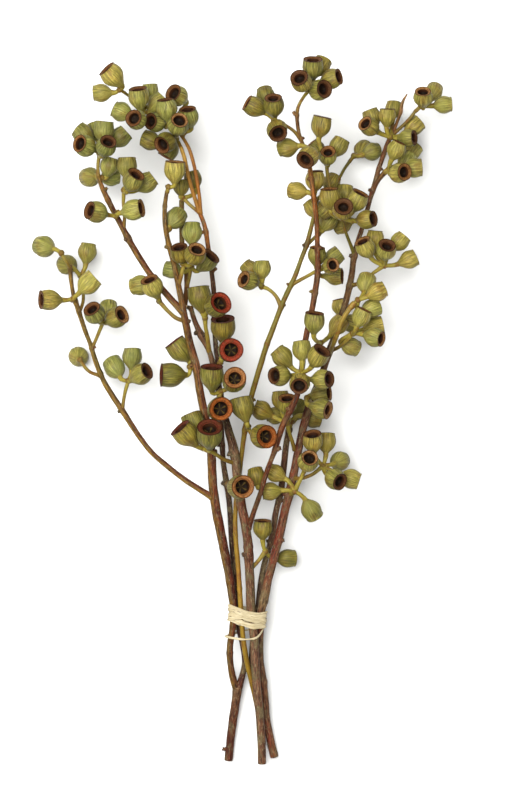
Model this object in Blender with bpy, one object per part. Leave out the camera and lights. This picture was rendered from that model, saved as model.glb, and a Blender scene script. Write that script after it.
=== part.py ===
"""A bunch of dried gumnut branches, tied with raffia and lying on a surface.

+X is to the bunch's right, +Y runs from the cut ends to the tips, +Z is up, away from the surface.
Routes and nuts are laid out as they are seen from above: x and y are pixels of a view straight
down, 0.7 mm each at the middle height of the bunch, and every height and width is in millimetres.
"""

import math

import bpy
import numpy as np
from mathutils import Matrix, Vector

# Scale and view of the layout
MM = 0.001
MM_PER_PIXEL = 0.70
VIEW_HEIGHT = 45.0  # the height at which a pixel is MM_PER_PIXEL wide
VIEW_DISTANCE = 2200.0  # from the viewer to the surface: nearer things look a little larger
CENTRE_X = 241.8
CENTRE_Y = 413.4

# Driving dimensions, in millimetres
TOUCHING_GAP = 0.3  # between a stalk and the branch that bears it, and between raffia and stems
EASE_GAP = 0.6  # that nuts keep from each other and from twigs
PEDICEL_WIDTH = 2.6
KNOB_WIDTH = 5.2  # of the swelling where the pedicels of a cluster meet
UMBEL_DEPTH = 15.0  # from a cluster's junction to the middle of a nut that faces straight up
RAFFIA_THICKNESS = 1.1
RAFFIA_BAND_WIDTH = 12.0
RAFFIA_STRAND_WIDTH = 1.5

# Where the raffia lies, in pixels of the view, and the strand that rises to the band
BAND_MIDDLE = (247.0, 618.5)
BAND_SLOPE = 0.24  # down to the right
BAND_LEVELS = (602, 606, 614, 622, 631)
BAND_POINTS = 28
STRAND_LEVEL = 640.5
STRAND_LEVELS = (637, 640, 644)
STRAND_POINTS = 24
RISER = [(260.0, 639.5, 24.0, 1.5), (262.6, 633, 24.6, 1.5), (262.6, 624, 24.0, 1.5)]
WRAP_DOTS = 24  # dots round each stem that the raffia's outline is drawn from

# Shape of a nut, as shares of its width, along its axis from its middle
NUT_PROFILE = ((-0.60, 0.15), (-0.34, 0.38), (0.02, 0.50), (0.43, 0.42))
NUT_DIMPLE = 0.24
NUT_SIDES = 6
# Balls that stand for a nut when it is eased off its neighbours: place along the axis, radius
NUT_BALLS = ((-0.32, 0.32), (0.0, 0.50), (0.20, 0.47))
PEDICEL_BALLS = (0.4, 0.75)  # shares of the way along a pedicel
EASE_ROUNDS = 60
EASE_SHARE = 0.35  # of a nut's push that it moves in a round

STEM_SIDES = 8
TWIG_SIDES = 6
THICK_STEM = 5.0  # a route that is anywhere wider than this gets the sides of a stem
KNOB_SIDES = 7
KNOB_RING_ANGLE = math.radians(28)
PEDICEL_START = 0.15  # share of the knob's width that a pedicel starts from its middle
# A pedicel bends towards the nut's own axis this share of its length, or of the nut's width, before it
BEND_SHARE = 0.5
BEND_MOST = 0.3
SHARP_BEND = math.radians(50)  # a pedicel that turns further than this gets a ring at its bend
SHARP_EDGE = math.radians(50)  # edges sharper than this aren't shaded smooth
SMALLEST_SIDE = 0.05  # under this length a side vector is too short to turn with the line

# Every route of a branch: x, y, height, width
LEFT_BRANCH = {
    "foot": [
        (228, 760.5, 2.9, 5.7), (230, 741, 4.5, 6.0), (232.5, 720, 6.3, 6.2), (235, 704, 7.8, 6.2),
        (237, 688, 9.2, 6.4),
    ],
    "main": [
        (236.5, 692, 9.0, 5.2), (233.6, 682, 10.2, 5.0), (230.8, 669, 13, 4.7), (229.4, 656, 16.5, 4.6),
        (229.7, 645, 19, 4.6), (232.3, 629, 21.3, 4.9), (233.5, 614, 22, 5.3), (231.5, 592, 23.5, 6.0),
        (226, 560, 26, 6.5), (221, 535, 28.5, 6.7), (216, 509, 31, 6.7), (213, 488, 33, 6.4),
        (212, 471, 35, 6.3), (211, 452, 37, 6.2), (208, 430, 39, 6.0), (204, 412, 41, 5.8),
        (200.5, 395, 42.5, 5.6), (195.5, 364, 46.5, 5.4), (190, 343, 49, 5.2), (186, 325, 51.3, 5.0),
        (183, 308, 53, 4.8), (178, 283, 57, 4.0), (174.5, 266, 59, 3.7), (169, 245, 60, 3.5),
        (165, 222, 60, 3.3), (165, 206, 60.5, 3.0), (167, 191, 61, 2.8),
    ],
    "orange_stem": [
        (237.5, 690, 9.0, 4.8), (241, 679, 9.2, 4.6), (244.5, 663, 9.8, 4.4), (242.5, 645, 11.5, 4.3),
        (238.5, 629, 13.2, 4.2), (237.5, 614, 14, 4.2), (235, 592, 15.5, 4.2), (233, 560, 18, 4.2),
        (231, 535, 20, 4.1), (229, 503, 23, 4.0), (226.5, 484, 25, 4.0), (223, 462, 27, 3.9),
        (222, 445, 29, 3.8), (220, 405, 30.5, 3.6), (218, 367, 33.5, 3.6), (215.5, 345, 35, 3.5),
        (214, 318, 36.5, 3.5), (213.5, 290, 38, 3.5), (211, 268, 40, 3.4), (208, 246, 43, 3.3),
        (204, 224, 46, 3.2), (199, 211, 47.5, 3.2),
    ],
    "orange_left": [
        (199.5, 213, 47.5, 3.0), (195.5, 200, 49, 2.9), (191, 186, 51, 2.8), (187.5, 172, 53, 2.8),
        (184.5, 158, 54, 2.8), (181, 147, 53, 2.6),
    ],
    "orange_right": [
        (200.5, 214, 47.5, 2.8), (199.5, 198, 50, 2.6), (197, 180, 52, 2.5), (193.5, 163, 53, 2.5),
        (190, 151, 53, 2.5), (185, 141, 51, 2.4), (180, 134, 47, 2.3), (172, 127, 41, 2.2),
        (160, 117, 36.5, 2.1), (148, 108, 35, 2.1), (136, 101, 36, 2.0), (129, 96, 39, 2.0),
        (122, 91, 43, 2.0),
    ],
    "left_arm": [
        (184, 313, 52.5, 4.6), (170, 298, 52, 4.5), (151, 275, 50.5, 4.4), (133, 247, 49.5, 4.3),
        (120, 223, 50, 4.1), (108, 200, 52, 3.8), (102, 187, 53, 3.4), (98, 175, 54, 2.8),
    ],
    "inner_twig": [
        (184, 306, 51, 3.8), (186.5, 291, 45, 3.7), (186, 270, 39, 3.6), (182.5, 250, 37, 3.6),
        (181.5, 225, 37, 3.6), (181.5, 200, 38, 3.6),
    ],
    "low_side": [
        (212, 497, 32, 4.4), (202, 491, 33, 4.2), (185, 480, 33, 4.0), (168, 467, 32, 3.8),
        (152, 453, 30, 3.7), (140, 438, 29, 3.8), (130, 423, 28, 4.0), (121, 409, 27.5, 4.2),
        (113, 397, 27, 4.0), (105, 384, 27, 3.8), (99, 371, 27.5, 3.6), (94, 357, 28, 3.5),
        (90, 344, 28.5, 3.3), (85, 331, 29, 3.2), (81, 319, 29.5, 3.3), (77.5, 308, 30, 3.6),
        (74, 298, 30.5, 3.2), (71.5, 285, 31, 2.9), (69.5, 265, 32, 3.6),
    ],
}
CENTRE_BRANCH = {
    "main": [
        (261.6, 763.7, 10, 5.9), (261, 741, 12.8, 5.9), (259, 712, 15.8, 6.0), (257, 690, 17.8, 6.1),
        (255, 665, 19.3, 6.3), (254, 640, 20.8, 6.4), (251, 614, 22, 6.5), (250, 592, 24.5, 6.5),
        (249, 568, 27.5, 6.5), (248, 547, 30.5, 6.6), (245, 524, 34, 6.6), (241, 503, 36.2, 6.3),
        (237.5, 480, 38, 6.2), (235, 458, 39, 6.3), (232, 443, 40, 6.2), (227, 425, 41, 5.4),
        (220, 395, 41, 4.6), (213.5, 366, 40.3, 4.2), (208.5, 350, 40, 3.9), (201, 335, 40, 4.6),
        (195, 322, 40.5, 3.6), (190, 306, 41, 3.4),
    ],
    "front_stem": [
        (248, 529, 33, 3.8), (254, 511, 38, 3.6), (261, 491, 44, 3.5), (267, 471, 48.5, 3.4),
        (275, 450, 53, 3.7), (283, 425, 57, 4.4), (291, 409, 59, 4.3), (297, 396, 60, 4.0),
        (301, 376, 62, 4.2), (304, 350, 63, 4.2), (308, 328, 63, 4.2), (312, 310, 62, 4.1),
        (315, 293, 61, 4.3), (318, 270, 60, 4.2), (317.5, 248, 60, 3.4), (317, 225, 61, 3.6),
        (314, 198, 62, 3.5), (311.5, 180, 62, 3.3), (309.5, 165, 62, 3.1), (304.5, 148, 62, 2.8),
        (300, 137, 62, 2.7), (297.5, 122, 61.5, 2.6), (297, 113, 61, 2.6),
    ],
}
YELLOW_BRANCH = {
    "main": [
        (261, 745, 4.4, 4.0), (259.3, 725, 6.6, 4.0), (256, 703, 9.6, 3.9), (251.7, 684, 12.6, 3.8),
        (246.6, 662, 17.8, 3.7), (243, 640, 22, 3.6), (241, 614, 25, 3.5), (239.5, 590, 27.5, 3.5),
        (237.6, 562, 29.5, 3.4), (235.7, 541, 30.5, 3.4), (235, 520, 31, 3.3), (236, 500, 31, 3.3),
        (238, 484, 31.8, 3.3), (240, 466, 33.5, 3.4), (242, 450, 36, 3.5), (245, 429, 40, 3.6),
        (250, 402, 43.5, 3.8), (256.5, 378, 46, 3.9), (262, 360, 47, 4.0), (267, 344, 48, 3.9),
        (272, 331, 48.3, 3.8), (278, 315, 48.5, 3.7), (283, 302, 48.5, 3.6), (290, 287, 48.5, 3.6),
        (295, 276, 48.5, 3.4), (300.5, 261, 48.3, 3.2), (306.5, 245, 48.3, 3.4), (311.5, 226, 49, 3.0),
        (315.5, 210, 50.5, 2.8),
    ],
}
RIGHT_BRANCH = {
    "main": [
        (273.8, 757, 3.05, 6.0), (269.5, 738, 5.5, 5.8), (265.5, 716, 8.0, 5.6), (264.5, 700, 9.8, 5.6),
        (262.5, 680, 12.0, 5.5), (259.5, 658, 13.6, 5.3), (259.3, 641, 15.2, 5.3), (260, 627, 17.4, 5.4),
        (260.5, 614, 20, 5.6),
        (264, 598, 21.5, 6.3), (268, 579, 23, 6.0), (273, 560, 25, 6.0), (278, 541, 27, 6.1),
        (283.5, 516, 29, 6.2), (288.6, 495, 30, 6.1), (294, 471, 31, 6.0), (299, 446, 32, 5.8),
        (304, 424, 32.5, 5.7), (309, 406, 33, 5.4), (316, 388, 33, 5.0), (323, 370, 33, 4.8),
        (329, 352, 33, 4.8), (334, 337, 33, 4.6), (340, 320, 33, 4.6), (345, 304, 33, 4.6),
        (348.5, 290, 32.5, 4.6), (351.5, 275, 32, 4.5), (354, 256, 32, 4.4), (358, 240, 32, 3.4),
        (362, 228, 31.5, 3.3), (366, 214, 31, 3.3), (370, 199, 31, 3.4), (374.5, 184, 31, 3.6),
        (378.5, 169, 30.5, 3.4), (384, 153, 30, 3.4), (388, 142, 30, 3.3), (392, 134, 30, 3.0),
    ],
    "dry_tip": [
        (391, 137, 30, 2.8), (396.5, 123, 31, 2.2), (400.5, 112, 31.5, 2.4), (402.5, 102, 31.5, 2.2),
        (407, 94, 31.5, 0.9),
    ],
    "tip_twig": [(391, 136, 30, 2.8), (399, 129, 31, 2.4), (410, 118, 33, 2.3), (416, 110, 34, 2.4)],
    "crossing_twig": [
        (329, 353, 33, 3.4), (331.5, 348, 42, 3.4), (334.5, 341, 50.5, 3.4), (338, 332, 54.5, 3.4),
        (341, 323, 56.5, 3.3), (346, 314, 57.5, 3.4), (351, 307, 57.5, 3.8), (355, 302.5, 57.5, 4.0),
    ],
    "inner_twig": [
        (354.5, 255, 32, 3.0), (350.5, 245, 36, 2.5), (347, 236, 40, 2.4), (344, 227, 43, 2.4),
        (341.5, 216, 45, 2.4), (338, 205, 44.8, 2.4), (334, 196, 44.3, 2.4), (330.5, 190, 44, 2.4),
    ],
    "far_twig": [
        (334, 196, 44.3, 2.2), (337, 184, 39, 2.2), (343, 171, 31, 2.2), (350, 160.5, 22, 2.4),
    ],
    "upper_twig": [(372.5, 191, 31, 3.0), (379, 179, 33, 3.3), (385, 172, 34, 3.6)],
}
DARK_STEM = {
    "main": [
        (251.5, 672, 8.6, 4.0), (251.3, 655, 10, 4.0), (252.8, 636, 11.4, 4.0), (255, 625, 12.8, 4.0),
        (257, 614, 14, 4.2), (259.5, 590, 14.8, 4.2), (263.5, 566, 15.6, 4.2), (268, 550, 16.4, 4.2),
        (272, 535, 18, 4.2), (276, 510, 20, 4.3), (280, 494, 21, 4.5), (283.5, 466, 22, 4.6),
        (287, 438, 23, 4.2), (289.5, 427, 24, 3.8),
    ],
}
BRANCHES = {
    "left_branch": LEFT_BRANCH,
    "centre_branch": CENTRE_BRANCH,
    "yellow_branch": YELLOW_BRANCH,
    "right_branch": RIGHT_BRANCH,
    "short_dark_stem": DARK_STEM,
}

# Every cluster: the branch that bears it, its stalk (x, y, height, width) from inside that branch
# to the junction, and its nuts (x, y, way the mouth faces in the view, tilt of the mouth towards
# the viewer, width, lift above the place that the tilt alone gives)
CLUSTERS = {
    "left_nuts_01": ("left_branch", [(125, 93, 41.3, 2.0), (119.5, 89.5, 45.5, 2.2)], [
        (113, 76, 133, 20, 16.0, 0), (102, 93, 180, -10, 13.0, 0)]),
    "left_nuts_02": ("left_branch", [(145, 106.3, 35.2, 2.2), (142.5, 108, 46.5, 2.6)], [
        (139, 98, 97, 18, 15.2, 4), (150, 92, 90, 0, 12.0, -10), (122, 112, 157, -5, 14.0, -1),
        (137.5, 120, 160, 65, 14.0, 6), (157, 103.5, 45, -5, 14.0, 0)]),
    "left_nuts_03": ("left_branch", [(169, 124.5, 40, 2.2), (166.5, 126, 48, 2.6)], [
        (157, 122.3, 175, 45, 14.2, -5), (167, 109, 100, 15, 15.0, 5), (178.5, 96.5, 150, 48, 14.4, -12)]),
    "left_nuts_04": ("left_branch", [(182.5, 137.5, 49, 2.2), (184.5, 132, 49.5, 2.6)], [
        (189, 117, 100, 30, 14.0, -2), (178, 125, 65, 60, 15.0, 4.5)]),
    "left_nuts_05": ("left_branch", [(182, 150, 53.3, 2.4), (179, 143, 49, 2.4), (176, 138, 46, 2.8)], [
        (167, 141.5, 220, 45, 14.6, 3), (151, 141, 155, -10, 14.0, 5), (169.5, 149, 243, 0, 14.0, -5)]),
    "left_nuts_06": ("left_branch", [(167, 193, 61, 2.6), (168.5, 187, 62, 2.8)], [
        (175, 171, 88, 12, 14.8, 0)]),
    "left_nuts_07": ("left_branch", [(199, 212.5, 47.3, 2.4), (190, 205, 46.5, 2.4), (183, 198, 46, 3.0)], [
        (181, 187, 90, 0, 11.5, 0), (193, 180, 105, -10, 12.5, -4)]),
    "left_nuts_08": ("left_branch", [(167, 233, 60, 2.2), (169, 229, 57, 2.4)], [
        (175, 219, 55, -35, 14.6, 5)]),
    "left_nuts_09": ("left_branch", [(186.5, 288, 44.2, 2.6), (189.5, 276, 46, 2.6), (191, 266, 48, 2.8)], [
        (192, 233, 90, -10, 14.8, 3), (206, 262, 45, 25, 14.5, 0), (173, 270, 170, -15, 12.5, -1)]),
    "left_nuts_10": ("left_branch", [(178.5, 285, 56.8, 2.8), (182, 273, 60, 2.8), (184, 264, 61, 2.8)], [
        (180.5, 254, 100, 35, 13.5, 0), (195, 255, 65, 50, 15.0, 0)]),
    "low_left_nuts_01": ("left_branch", [(69.7, 268, 31.8, 2.2), (66.5, 262, 37, 2.4), (61, 253, 38, 3.0)], [
        (45, 247, 165, -45, 15.4, 0)]),
    "low_left_nuts_02": ("left_branch", [(74, 298, 30.5, 2.6), (73, 299, 34.5, 3.2)], [
        (88, 284, 45, -3, 15.0, 4), (50, 300, 180, 22, 15.2, 0)]),
    "low_left_nuts_03": ("left_branch", [
        (79, 313, 29.8, 2.4), (83, 300, 23, 2.4), (82, 286, 20, 2.4), (80, 276, 20, 2.8)], [
        (67, 265, 150, -60, 14.5, 9), (87, 253, 82, -5, 14.0, 0)]),
    "low_left_nuts_04": ("left_branch", [(91.5, 349, 28.2, 2.6), (95.5, 340, 30, 2.4), (103, 322, 33, 3.0)], [
        (95, 314, 120, 50, 14.8, 0), (115, 318, 25, 35, 15.2, 0), (108, 311, 90, -40, 13.5, 0)]),
    "low_left_nuts_05": ("left_branch", [(100, 376, 27.2, 2.6), (88, 371, 21, 2.4), (79.5, 360, 17.2, 2.4)], [
        (78, 357, 100, -75, 14.4, 4)]),
    "low_left_nuts_06": ("left_branch", [
        (122, 411, 27.6, 2.6), (124.5, 394, 30.5, 2.4), (128, 381, 32, 3.2)], [
        (115, 368.5, 120, -35, 15.0, 0), (132, 358, 88, -3, 14.4, 0), (140, 375, 30, 30, 15.0, 0)]),
    "left_nuts_11": ("left_branch", [(98.5, 177, 53.8, 2.6), (98, 165, 55, 2.4), (99.5, 154, 56, 3.0)], [
        (84, 135, 135, -5, 14.5, 0), (86, 146, 160, 50, 15.4, 0), (95, 132, 110, -20, 13.0, -8),
        (104, 131, 87, 3, 14.5, 0), (119, 138, 40, -5, 14.5, 0), (106, 147, 60, 50, 14.5, 0)]),
    "left_nuts_12": ("left_branch", [(100, 181.5, 53.3, 2.4), (101.5, 178, 51, 2.8)], [
        (109, 166, 75, 5, 13.5, 0), (110, 177, 10, -25, 13.0, -4), (90.5, 177, 180, -60, 13.8, 0)]),
    "left_nuts_13": ("left_branch", [
        (123.5, 229, 49.8, 2.6), (124.5, 219, 51.5, 2.4), (123.5, 205, 53.5, 2.4), (124, 190, 57, 3.0)], [
        (127, 167, 90, -5, 14.2, 0), (133, 181, 60, 35, 14.8, 0), (146, 183, 35, -5, 14.6, 0)]),
    "left_nuts_14": ("left_branch", [(116.5, 217, 50.5, 2.8), (116, 216, 55, 3.6)], [
        (97, 212, 168, 40, 15.2, 0), (133, 210, 12, 20, 15.0, 2)]),
    "left_nuts_15": ("left_branch", [
        (185.5, 321, 51.6, 3.0), (177, 318.5, 50, 2.8), (168, 311, 50, 2.8), (159, 301, 50, 3.2)], [
        (141, 285, 190, -20, 14.6, 0), (153, 287, 115, 30, 15.2, 0)]),
    "left_nuts_16": ("left_branch", [(195, 366, 46.3, 3.0), (190, 367, 47, 4.0)], [
        (180, 350, 128, 8, 16.5, -9), (172, 375, 180, 12, 17.0, 0)]),
    "orange_nuts_01": ("left_branch", [(226.5, 484, 25, 3.4), (229.5, 483.5, 33, 3.6), (231, 484, 41, 3.8)], [
        (239.5, 487, 10, 70, 17.5, 1)]),
    "orange_nuts_02": ("left_branch", [(218, 368, 33.4, 2.6), (220, 363, 42, 3.4)], [
        (223, 329, 92, 25, 17.5, 2), (230.5, 350, 0, 85, 17.5, 3)]),
    "centre_nuts_01": ("centre_branch", [
        (209, 352, 40, 3.2), (207.5, 338, 44.5, 3.0), (205.5, 326, 48, 3.0), (205, 318, 50, 3.8)], [
        (200, 298, 100, -5, 17.0, 2), (216, 306, 30, 55, 17.0, 0)]),
    "centre_nuts_02": ("centre_branch", [(219.5, 393, 41, 3.2), (221, 391, 50, 4.2)], [
        (212, 377, 90, 20, 17.0, 4), (234, 381, 70, 70, 16.8, 0), (219.5, 409, 10, 80, 17.2, 0)]),
    "centre_nuts_03": ("centre_branch", [
        (234, 463, 39, 3.0), (224, 459.5, 45, 2.8), (213, 452.5, 51.5, 2.8), (203, 448, 54, 3.6)], [
        (210, 436, 90, 38, 18.0, 0), (187, 435, 132, 15, 16.5, 0), (194, 424, 110, -10, 15.5, -5)]),
    "yellow_nuts_01": ("yellow_branch", [(245, 430, 39.8, 3.0), (248, 427, 44.5, 3.8)], [
        (243, 408, 105, -5, 16.5, 11), (261.5, 436, 355, 60, 17.0, 0)]),
    "yellow_nuts_02": ("yellow_branch", [
        (281, 306, 48.5, 3.0), (275, 295, 49, 2.6), (268, 289, 49, 2.6), (261.5, 286.5, 49, 3.0)], [
        (262, 269, 90, 2, 12.8, 0.4), (250, 281, 165, 40, 13.4, 0.5), (250.5, 269.5, 138, -18, 12.0, -6)]),
    "yellow_nuts_03": ("yellow_branch", [
        (291, 285, 48.5, 2.8), (300, 280, 48, 2.6), (311, 274, 47, 2.6), (318, 270, 46.5, 2.8)], [
        (317, 256, 88, 15, 13.4, -3), (333, 258, 40, -5, 13.0, 0), (330.5, 266, 20, 70, 12.0, 0),
        (334, 276, 0, 15, 13.0, -6)]),
    "yellow_nuts_04": ("yellow_branch", [
        (306.5, 245.5, 48.3, 2.4), (312, 240, 45, 2.4), (318, 234, 40, 2.4)], [
        (328, 222, 55, -10, 13.0, -2), (313, 208.5, 120, -10, 12.5, -4)]),
    "yellow_nuts_05": ("yellow_branch", [(315.2, 211, 50.4, 2.4), (315, 200, 52, 3.0)], [
        (298, 191, 170, -30, 13.0, 0), (315, 180, 88, 12, 14.0, -2), (331, 183, 60, -20, 12.5, -10)]),
    "front_nuts_01": ("centre_branch", [
        (297, 115, 61.1, 2.4), (298, 108, 61, 2.3), (303, 98, 61, 2.3), (311, 88, 60, 2.8)], [
        (313, 68, 90, 28, 14.8, 0), (320, 67, 60, -20, 13.6, 0), (302, 82, 125, 60, 14.6, 0),
        (331, 79, 15, 25, 14.4, 0), (319, 90, 5, 55, 15.0, 0)]),
    "front_nuts_02": ("centre_branch", [
        (300, 138, 62, 2.6), (295, 132, 60, 2.3), (285, 125, 58, 2.3), (274, 120, 58, 2.8)], [
        (255, 107, 152, 12, 14.6, 0), (266, 97, 100, -30, 13.6, 0), (274, 106, 95, 33, 14.6, 0),
        (277, 129, 285, 55, 14.6, 0)]),
    "front_nuts_03": ("centre_branch", [(305.5, 151, 62, 2.6), (309.5, 149, 67, 3.2)], [
        (309, 156, 230, 50, 14.4, 0), (288, 147.5, 187, -20, 13.6, -1)]),
    "front_nuts_04": ("centre_branch", [(301.5, 374, 62, 3.2), (302, 372, 69, 4.4)], [
        (302, 350, 92, -5, 13.5, 6), (283, 357, 130, -5, 14.6, 0), (281, 375.5, 180, 42, 14.6, 0),
        (300, 383, 260, 70, 14.4, 0), (322, 379, 0, 35, 14.4, 0), (318, 357, 57, 30, 14.6, 2)]),
    "front_nuts_05": ("centre_branch", [
        (303.5, 357, 63, 2.6), (312, 349, 60, 2.5), (320.5, 343, 60, 3.2)], [
        (314.5, 322, 88, 15, 14.6, 10), (337.5, 326, 52, -15, 13.6, -12)]),
    "front_nuts_06": ("centre_branch", [(261.3, 490.5, 44.1, 2.6), (259, 487.5, 39.5, 2.8)], [
        (256.2, 477, 100, -20, 12.6, 0)]),
    "right_nuts_01": ("right_branch", [
        (294.5, 450, 32, 3.0), (291.5, 440, 38, 2.8), (288.5, 430, 42, 2.8), (287, 423, 44, 3.4)], [
        (262, 411, 152, -5, 14.0, 0), (276, 416, 170, -15, 12.5, -5), (281, 400, 97, -5, 13.5, 0),
        (287, 405, 90, 35, 13.5, -6)]),
    "right_nuts_02": ("right_branch", [(310.5, 402, 33, 2.8), (307, 398, 50, 3.2)], [
        (321, 394, 10, 20, 14.0, 0), (320.5, 408, 345, 30, 14.4, 0)]),
    "right_nuts_03": ("right_branch", [(352.5, 305.5, 57.2, 2.6), (358, 300, 57.8, 3.0)], [
        (366, 284, 75, -40, 13.6, 0), (377, 292, 25, -8, 13.6, 0), (371, 309, 20, -15, 13.6, -6)]),
    "right_nuts_04": ("right_branch", [
        (330, 351, 33, 2.8), (339, 347, 40, 2.6), (346, 341, 46, 2.6), (353, 333.5, 50, 3.2)], [
        (361, 317, 67, 12, 13.0, 4), (374, 327, 15, -5, 14.0, -2), (374, 337, 345, 30, 14.0, 3),
        (350, 346, 340, -30, 13.0, -6)]),
    "right_nuts_05": ("right_branch", [(340, 320, 33, 2.6), (341, 319, 27.5, 2.8)], [
        (340, 307, 100, 8, 12.5, -7), (350, 323, 340, -10, 13.0, -6)]),
    "right_nuts_06": ("right_branch", [
        (350, 286, 32.4, 3.0), (360, 283, 33, 2.6), (374, 272.5, 36, 2.6), (384, 265.5, 38, 3.4)], [
        (366, 248, 120, 25, 14.0, 0), (375, 239, 88, 3, 13.0, 0), (386, 251, 80, 50, 14.0, 0),
        (399, 242, 47, -3, 13.0, 0), (408, 260, 22, -5, 13.0, 0)]),
    "right_nuts_07": ("right_branch", [(341, 217.5, 44.8, 2.4), (342, 218, 49.5, 3.2)], [
        (330, 198, 95, 18, 14.8, 4.5), (345, 195, 90, -15, 13.5, -6), (357, 201, 65, 20, 14.6, 0),
        (343, 210, 80, 70, 14.6, 3), (326, 208, 225, -10, 13.5, -1), (343, 225, 200, -30, 12.5, -13),
        (366, 219.5, 5, 30, 13.5, 0)]),
    "right_nuts_08": ("right_branch", [
        (331, 191.5, 44, 2.4), (328, 179, 45, 2.4), (326.5, 163, 46, 3.0)], [
        (321, 126, 80, 10, 14.4, 0), (316, 150, 130, 10, 13.5, -11), (328, 157, 90, 50, 12.6, 0),
        (338, 147, 62, -5, 13.5, 0)]),
    "right_nuts_09": ("right_branch", [(349, 162, 23.4, 2.2), (353.5, 156, 18, 2.8)], [
        (362, 150, 60, -50, 12.6, 1.5), (371, 152, 20, -30, 13.0, 0)]),
    "right_nuts_10": ("right_branch", [(390, 138, 30, 2.8), (390, 137, 34.5, 3.6)], [
        (370, 127, 150, 42, 13.4, 0), (372, 118, 110, -5, 13.0, 0), (387, 117, 88, 12, 12.6, 2),
        (393, 110, 85, -10, 12.0, -7), (407, 138, 0, 30, 12.8, -5), (413, 127, 38, -8, 13.0, 0)]),
    "right_nuts_11": ("right_branch", [(384, 173, 33.8, 3.4), (389, 169, 35.5, 3.6)], [
        (399, 173, 5, 55, 14.4, 0), (413, 168, 5, -5, 13.6, 0), (406, 161, 60, -20, 13.0, -5),
        (396, 150, 65, 15, 13.2, 3), (411, 152, 50, -15, 12.5, -9)]),
    "right_nuts_12": ("right_branch", [(415, 111.5, 33.8, 2.4), (421, 106, 34.5, 2.8)], [
        (423, 98, 95, 45, 13.6, 0), (433, 93, 70, -40, 12.6, 0), (443, 105, 5, -3, 12.6, 0)]),
    "low_right_nuts_01": ("right_branch", [
        (292.5, 478, 30.7, 3.2), (300, 478.5, 35.5, 2.8), (311, 475, 36, 2.6), (323, 466, 35, 3.4)], [
        (313, 442, 95, 25, 14.4, 0), (326, 442, 88, -10, 13.8, 0), (339, 461.5, 20, -60, 14.0, 0),
        (334.5, 478.7, 330, 50, 15.0, 0), (350.5, 478.7, 340, 0, 14.0, 0)]),
    "low_right_nuts_02": ("right_branch", [(289, 495, 30, 3.2), (294.5, 491.5, 37, 3.8)], [
        (308, 462, 70, 60, 15.0, 0), (310.3, 509.3, 300, -25, 14.6, 0), (275.9, 473.6, 150, -10, 13.0, 0),
        (270.8, 491.4, 185, 0, 13.0, -4)]),
    "dark_stem_nuts": ("short_dark_stem", [(289, 429, 23.8, 3.0), (291, 422, 26, 3.2)], [
        (300, 410, 60, -10, 13.5, -2), (312, 418, 350, -10, 14.0, -2)]),
    "tie_nuts": ("centre_branch", [(249.5, 570, 27.3, 3.0), (258, 561, 25, 2.8), (265, 551.5, 23.5, 3.6)], [
        (262.5, 529, 90, 12, 13.6, 2), (286, 558.4, 0, -15, 13.4, -4)]),
}

COLOURS = {
    "left_branch": (0.105, 0.045, 0.024),
    "centre_branch": (0.120, 0.058, 0.034),
    "yellow_branch": (0.290, 0.195, 0.035),
    "right_branch": (0.110, 0.040, 0.022),
    "short_dark_stem": (0.055, 0.028, 0.018),
    "raffia_tie": (0.640, 0.510, 0.320),
    "nuts": (0.235, 0.235, 0.060),
}
BARK_ROUGHNESS = 0.75
NUT_ROUGHNESS = 0.60


def place(x, y, height):
    """The point, in metres, seen at this pixel and lying this many millimetres up."""
    spread = MM_PER_PIXEL * (VIEW_DISTANCE - height) / (VIEW_DISTANCE - VIEW_HEIGHT)
    return Vector(((x - CENTRE_X) * spread, (CENTRE_Y - y) * spread, height)) * MM


def facing(way, tilt):
    """Unit vector that points this way in the view and leans this far towards the viewer."""
    flat = math.cos(math.radians(tilt))
    return Vector((
        flat * math.cos(math.radians(way)),
        flat * math.sin(math.radians(way)),
        math.sin(math.radians(tilt)),
    ))


def spine(route):
    """Centres and radii, in metres, along a route."""
    centres = [place(x, y, height) for x, y, height, _ in route]
    radii = [width / 2 * MM for *_, width in route]
    return centres, radii


class Nut:
    """One gumnut: where it sits, how wide it is and the junction that its pedicel starts from."""

    def __init__(self, junction, row):
        self.x, self.y, way, tilt, width, lift = row
        self.junction = place(*junction[:3])
        self.width = width * MM
        self.axis = facing(way, tilt)
        self.height = junction[2] + UMBEL_DEPTH * math.sin(math.radians(tilt)) + lift
        self.reach_down = self.lowest_share() * width

    def lowest_share(self):
        """How far below its middle the nut's lowest point is, as a share of its width."""
        level = math.hypot(self.axis.x, self.axis.y)
        return max(radius * level - along * self.axis.z for along, radius in NUT_PROFILE)

    def middle(self):
        return place(self.x, self.y, self.height)

    def along(self, share):
        """The point on the axis this share of the width past the middle."""
        return self.middle() + self.axis * share * self.width

    def balls(self):
        """Balls (x, y, z, radius in mm) that cover the body and the pedicel."""
        found = [(*self.along(at) / MM, radius * self.width / MM) for at, radius in NUT_BALLS]
        for share in PEDICEL_BALLS:
            found.append((*self.pedicel(share)[0] / MM, PEDICEL_WIDTH / 2))
        return found

    def pedicel(self, share):
        """The point this share of the way along the bent pedicel, and its direction there."""
        neck = self.along(NUT_PROFILE[0][0])
        bend = neck - self.axis * min(BEND_SHARE * (neck - self.junction).length, BEND_MOST * self.width)
        first = self.junction.lerp(bend, share)
        second = bend.lerp(neck, share)
        return first.lerp(second, share), (second - first).normalized()


def route_balls(route):
    """Balls along a route, closer together than they are wide."""
    centres, radii = spine(route)
    found = []
    for start, end, first, last in zip(centres, centres[1:], radii, radii[1:]):
        count = max(1, round((end - start).length / (2 * min(first, last))))
        for step in range(count):
            share = step / count
            found.append((*start.lerp(end, share) / MM, (first + (last - first) * share) / MM))
    return found


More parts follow.
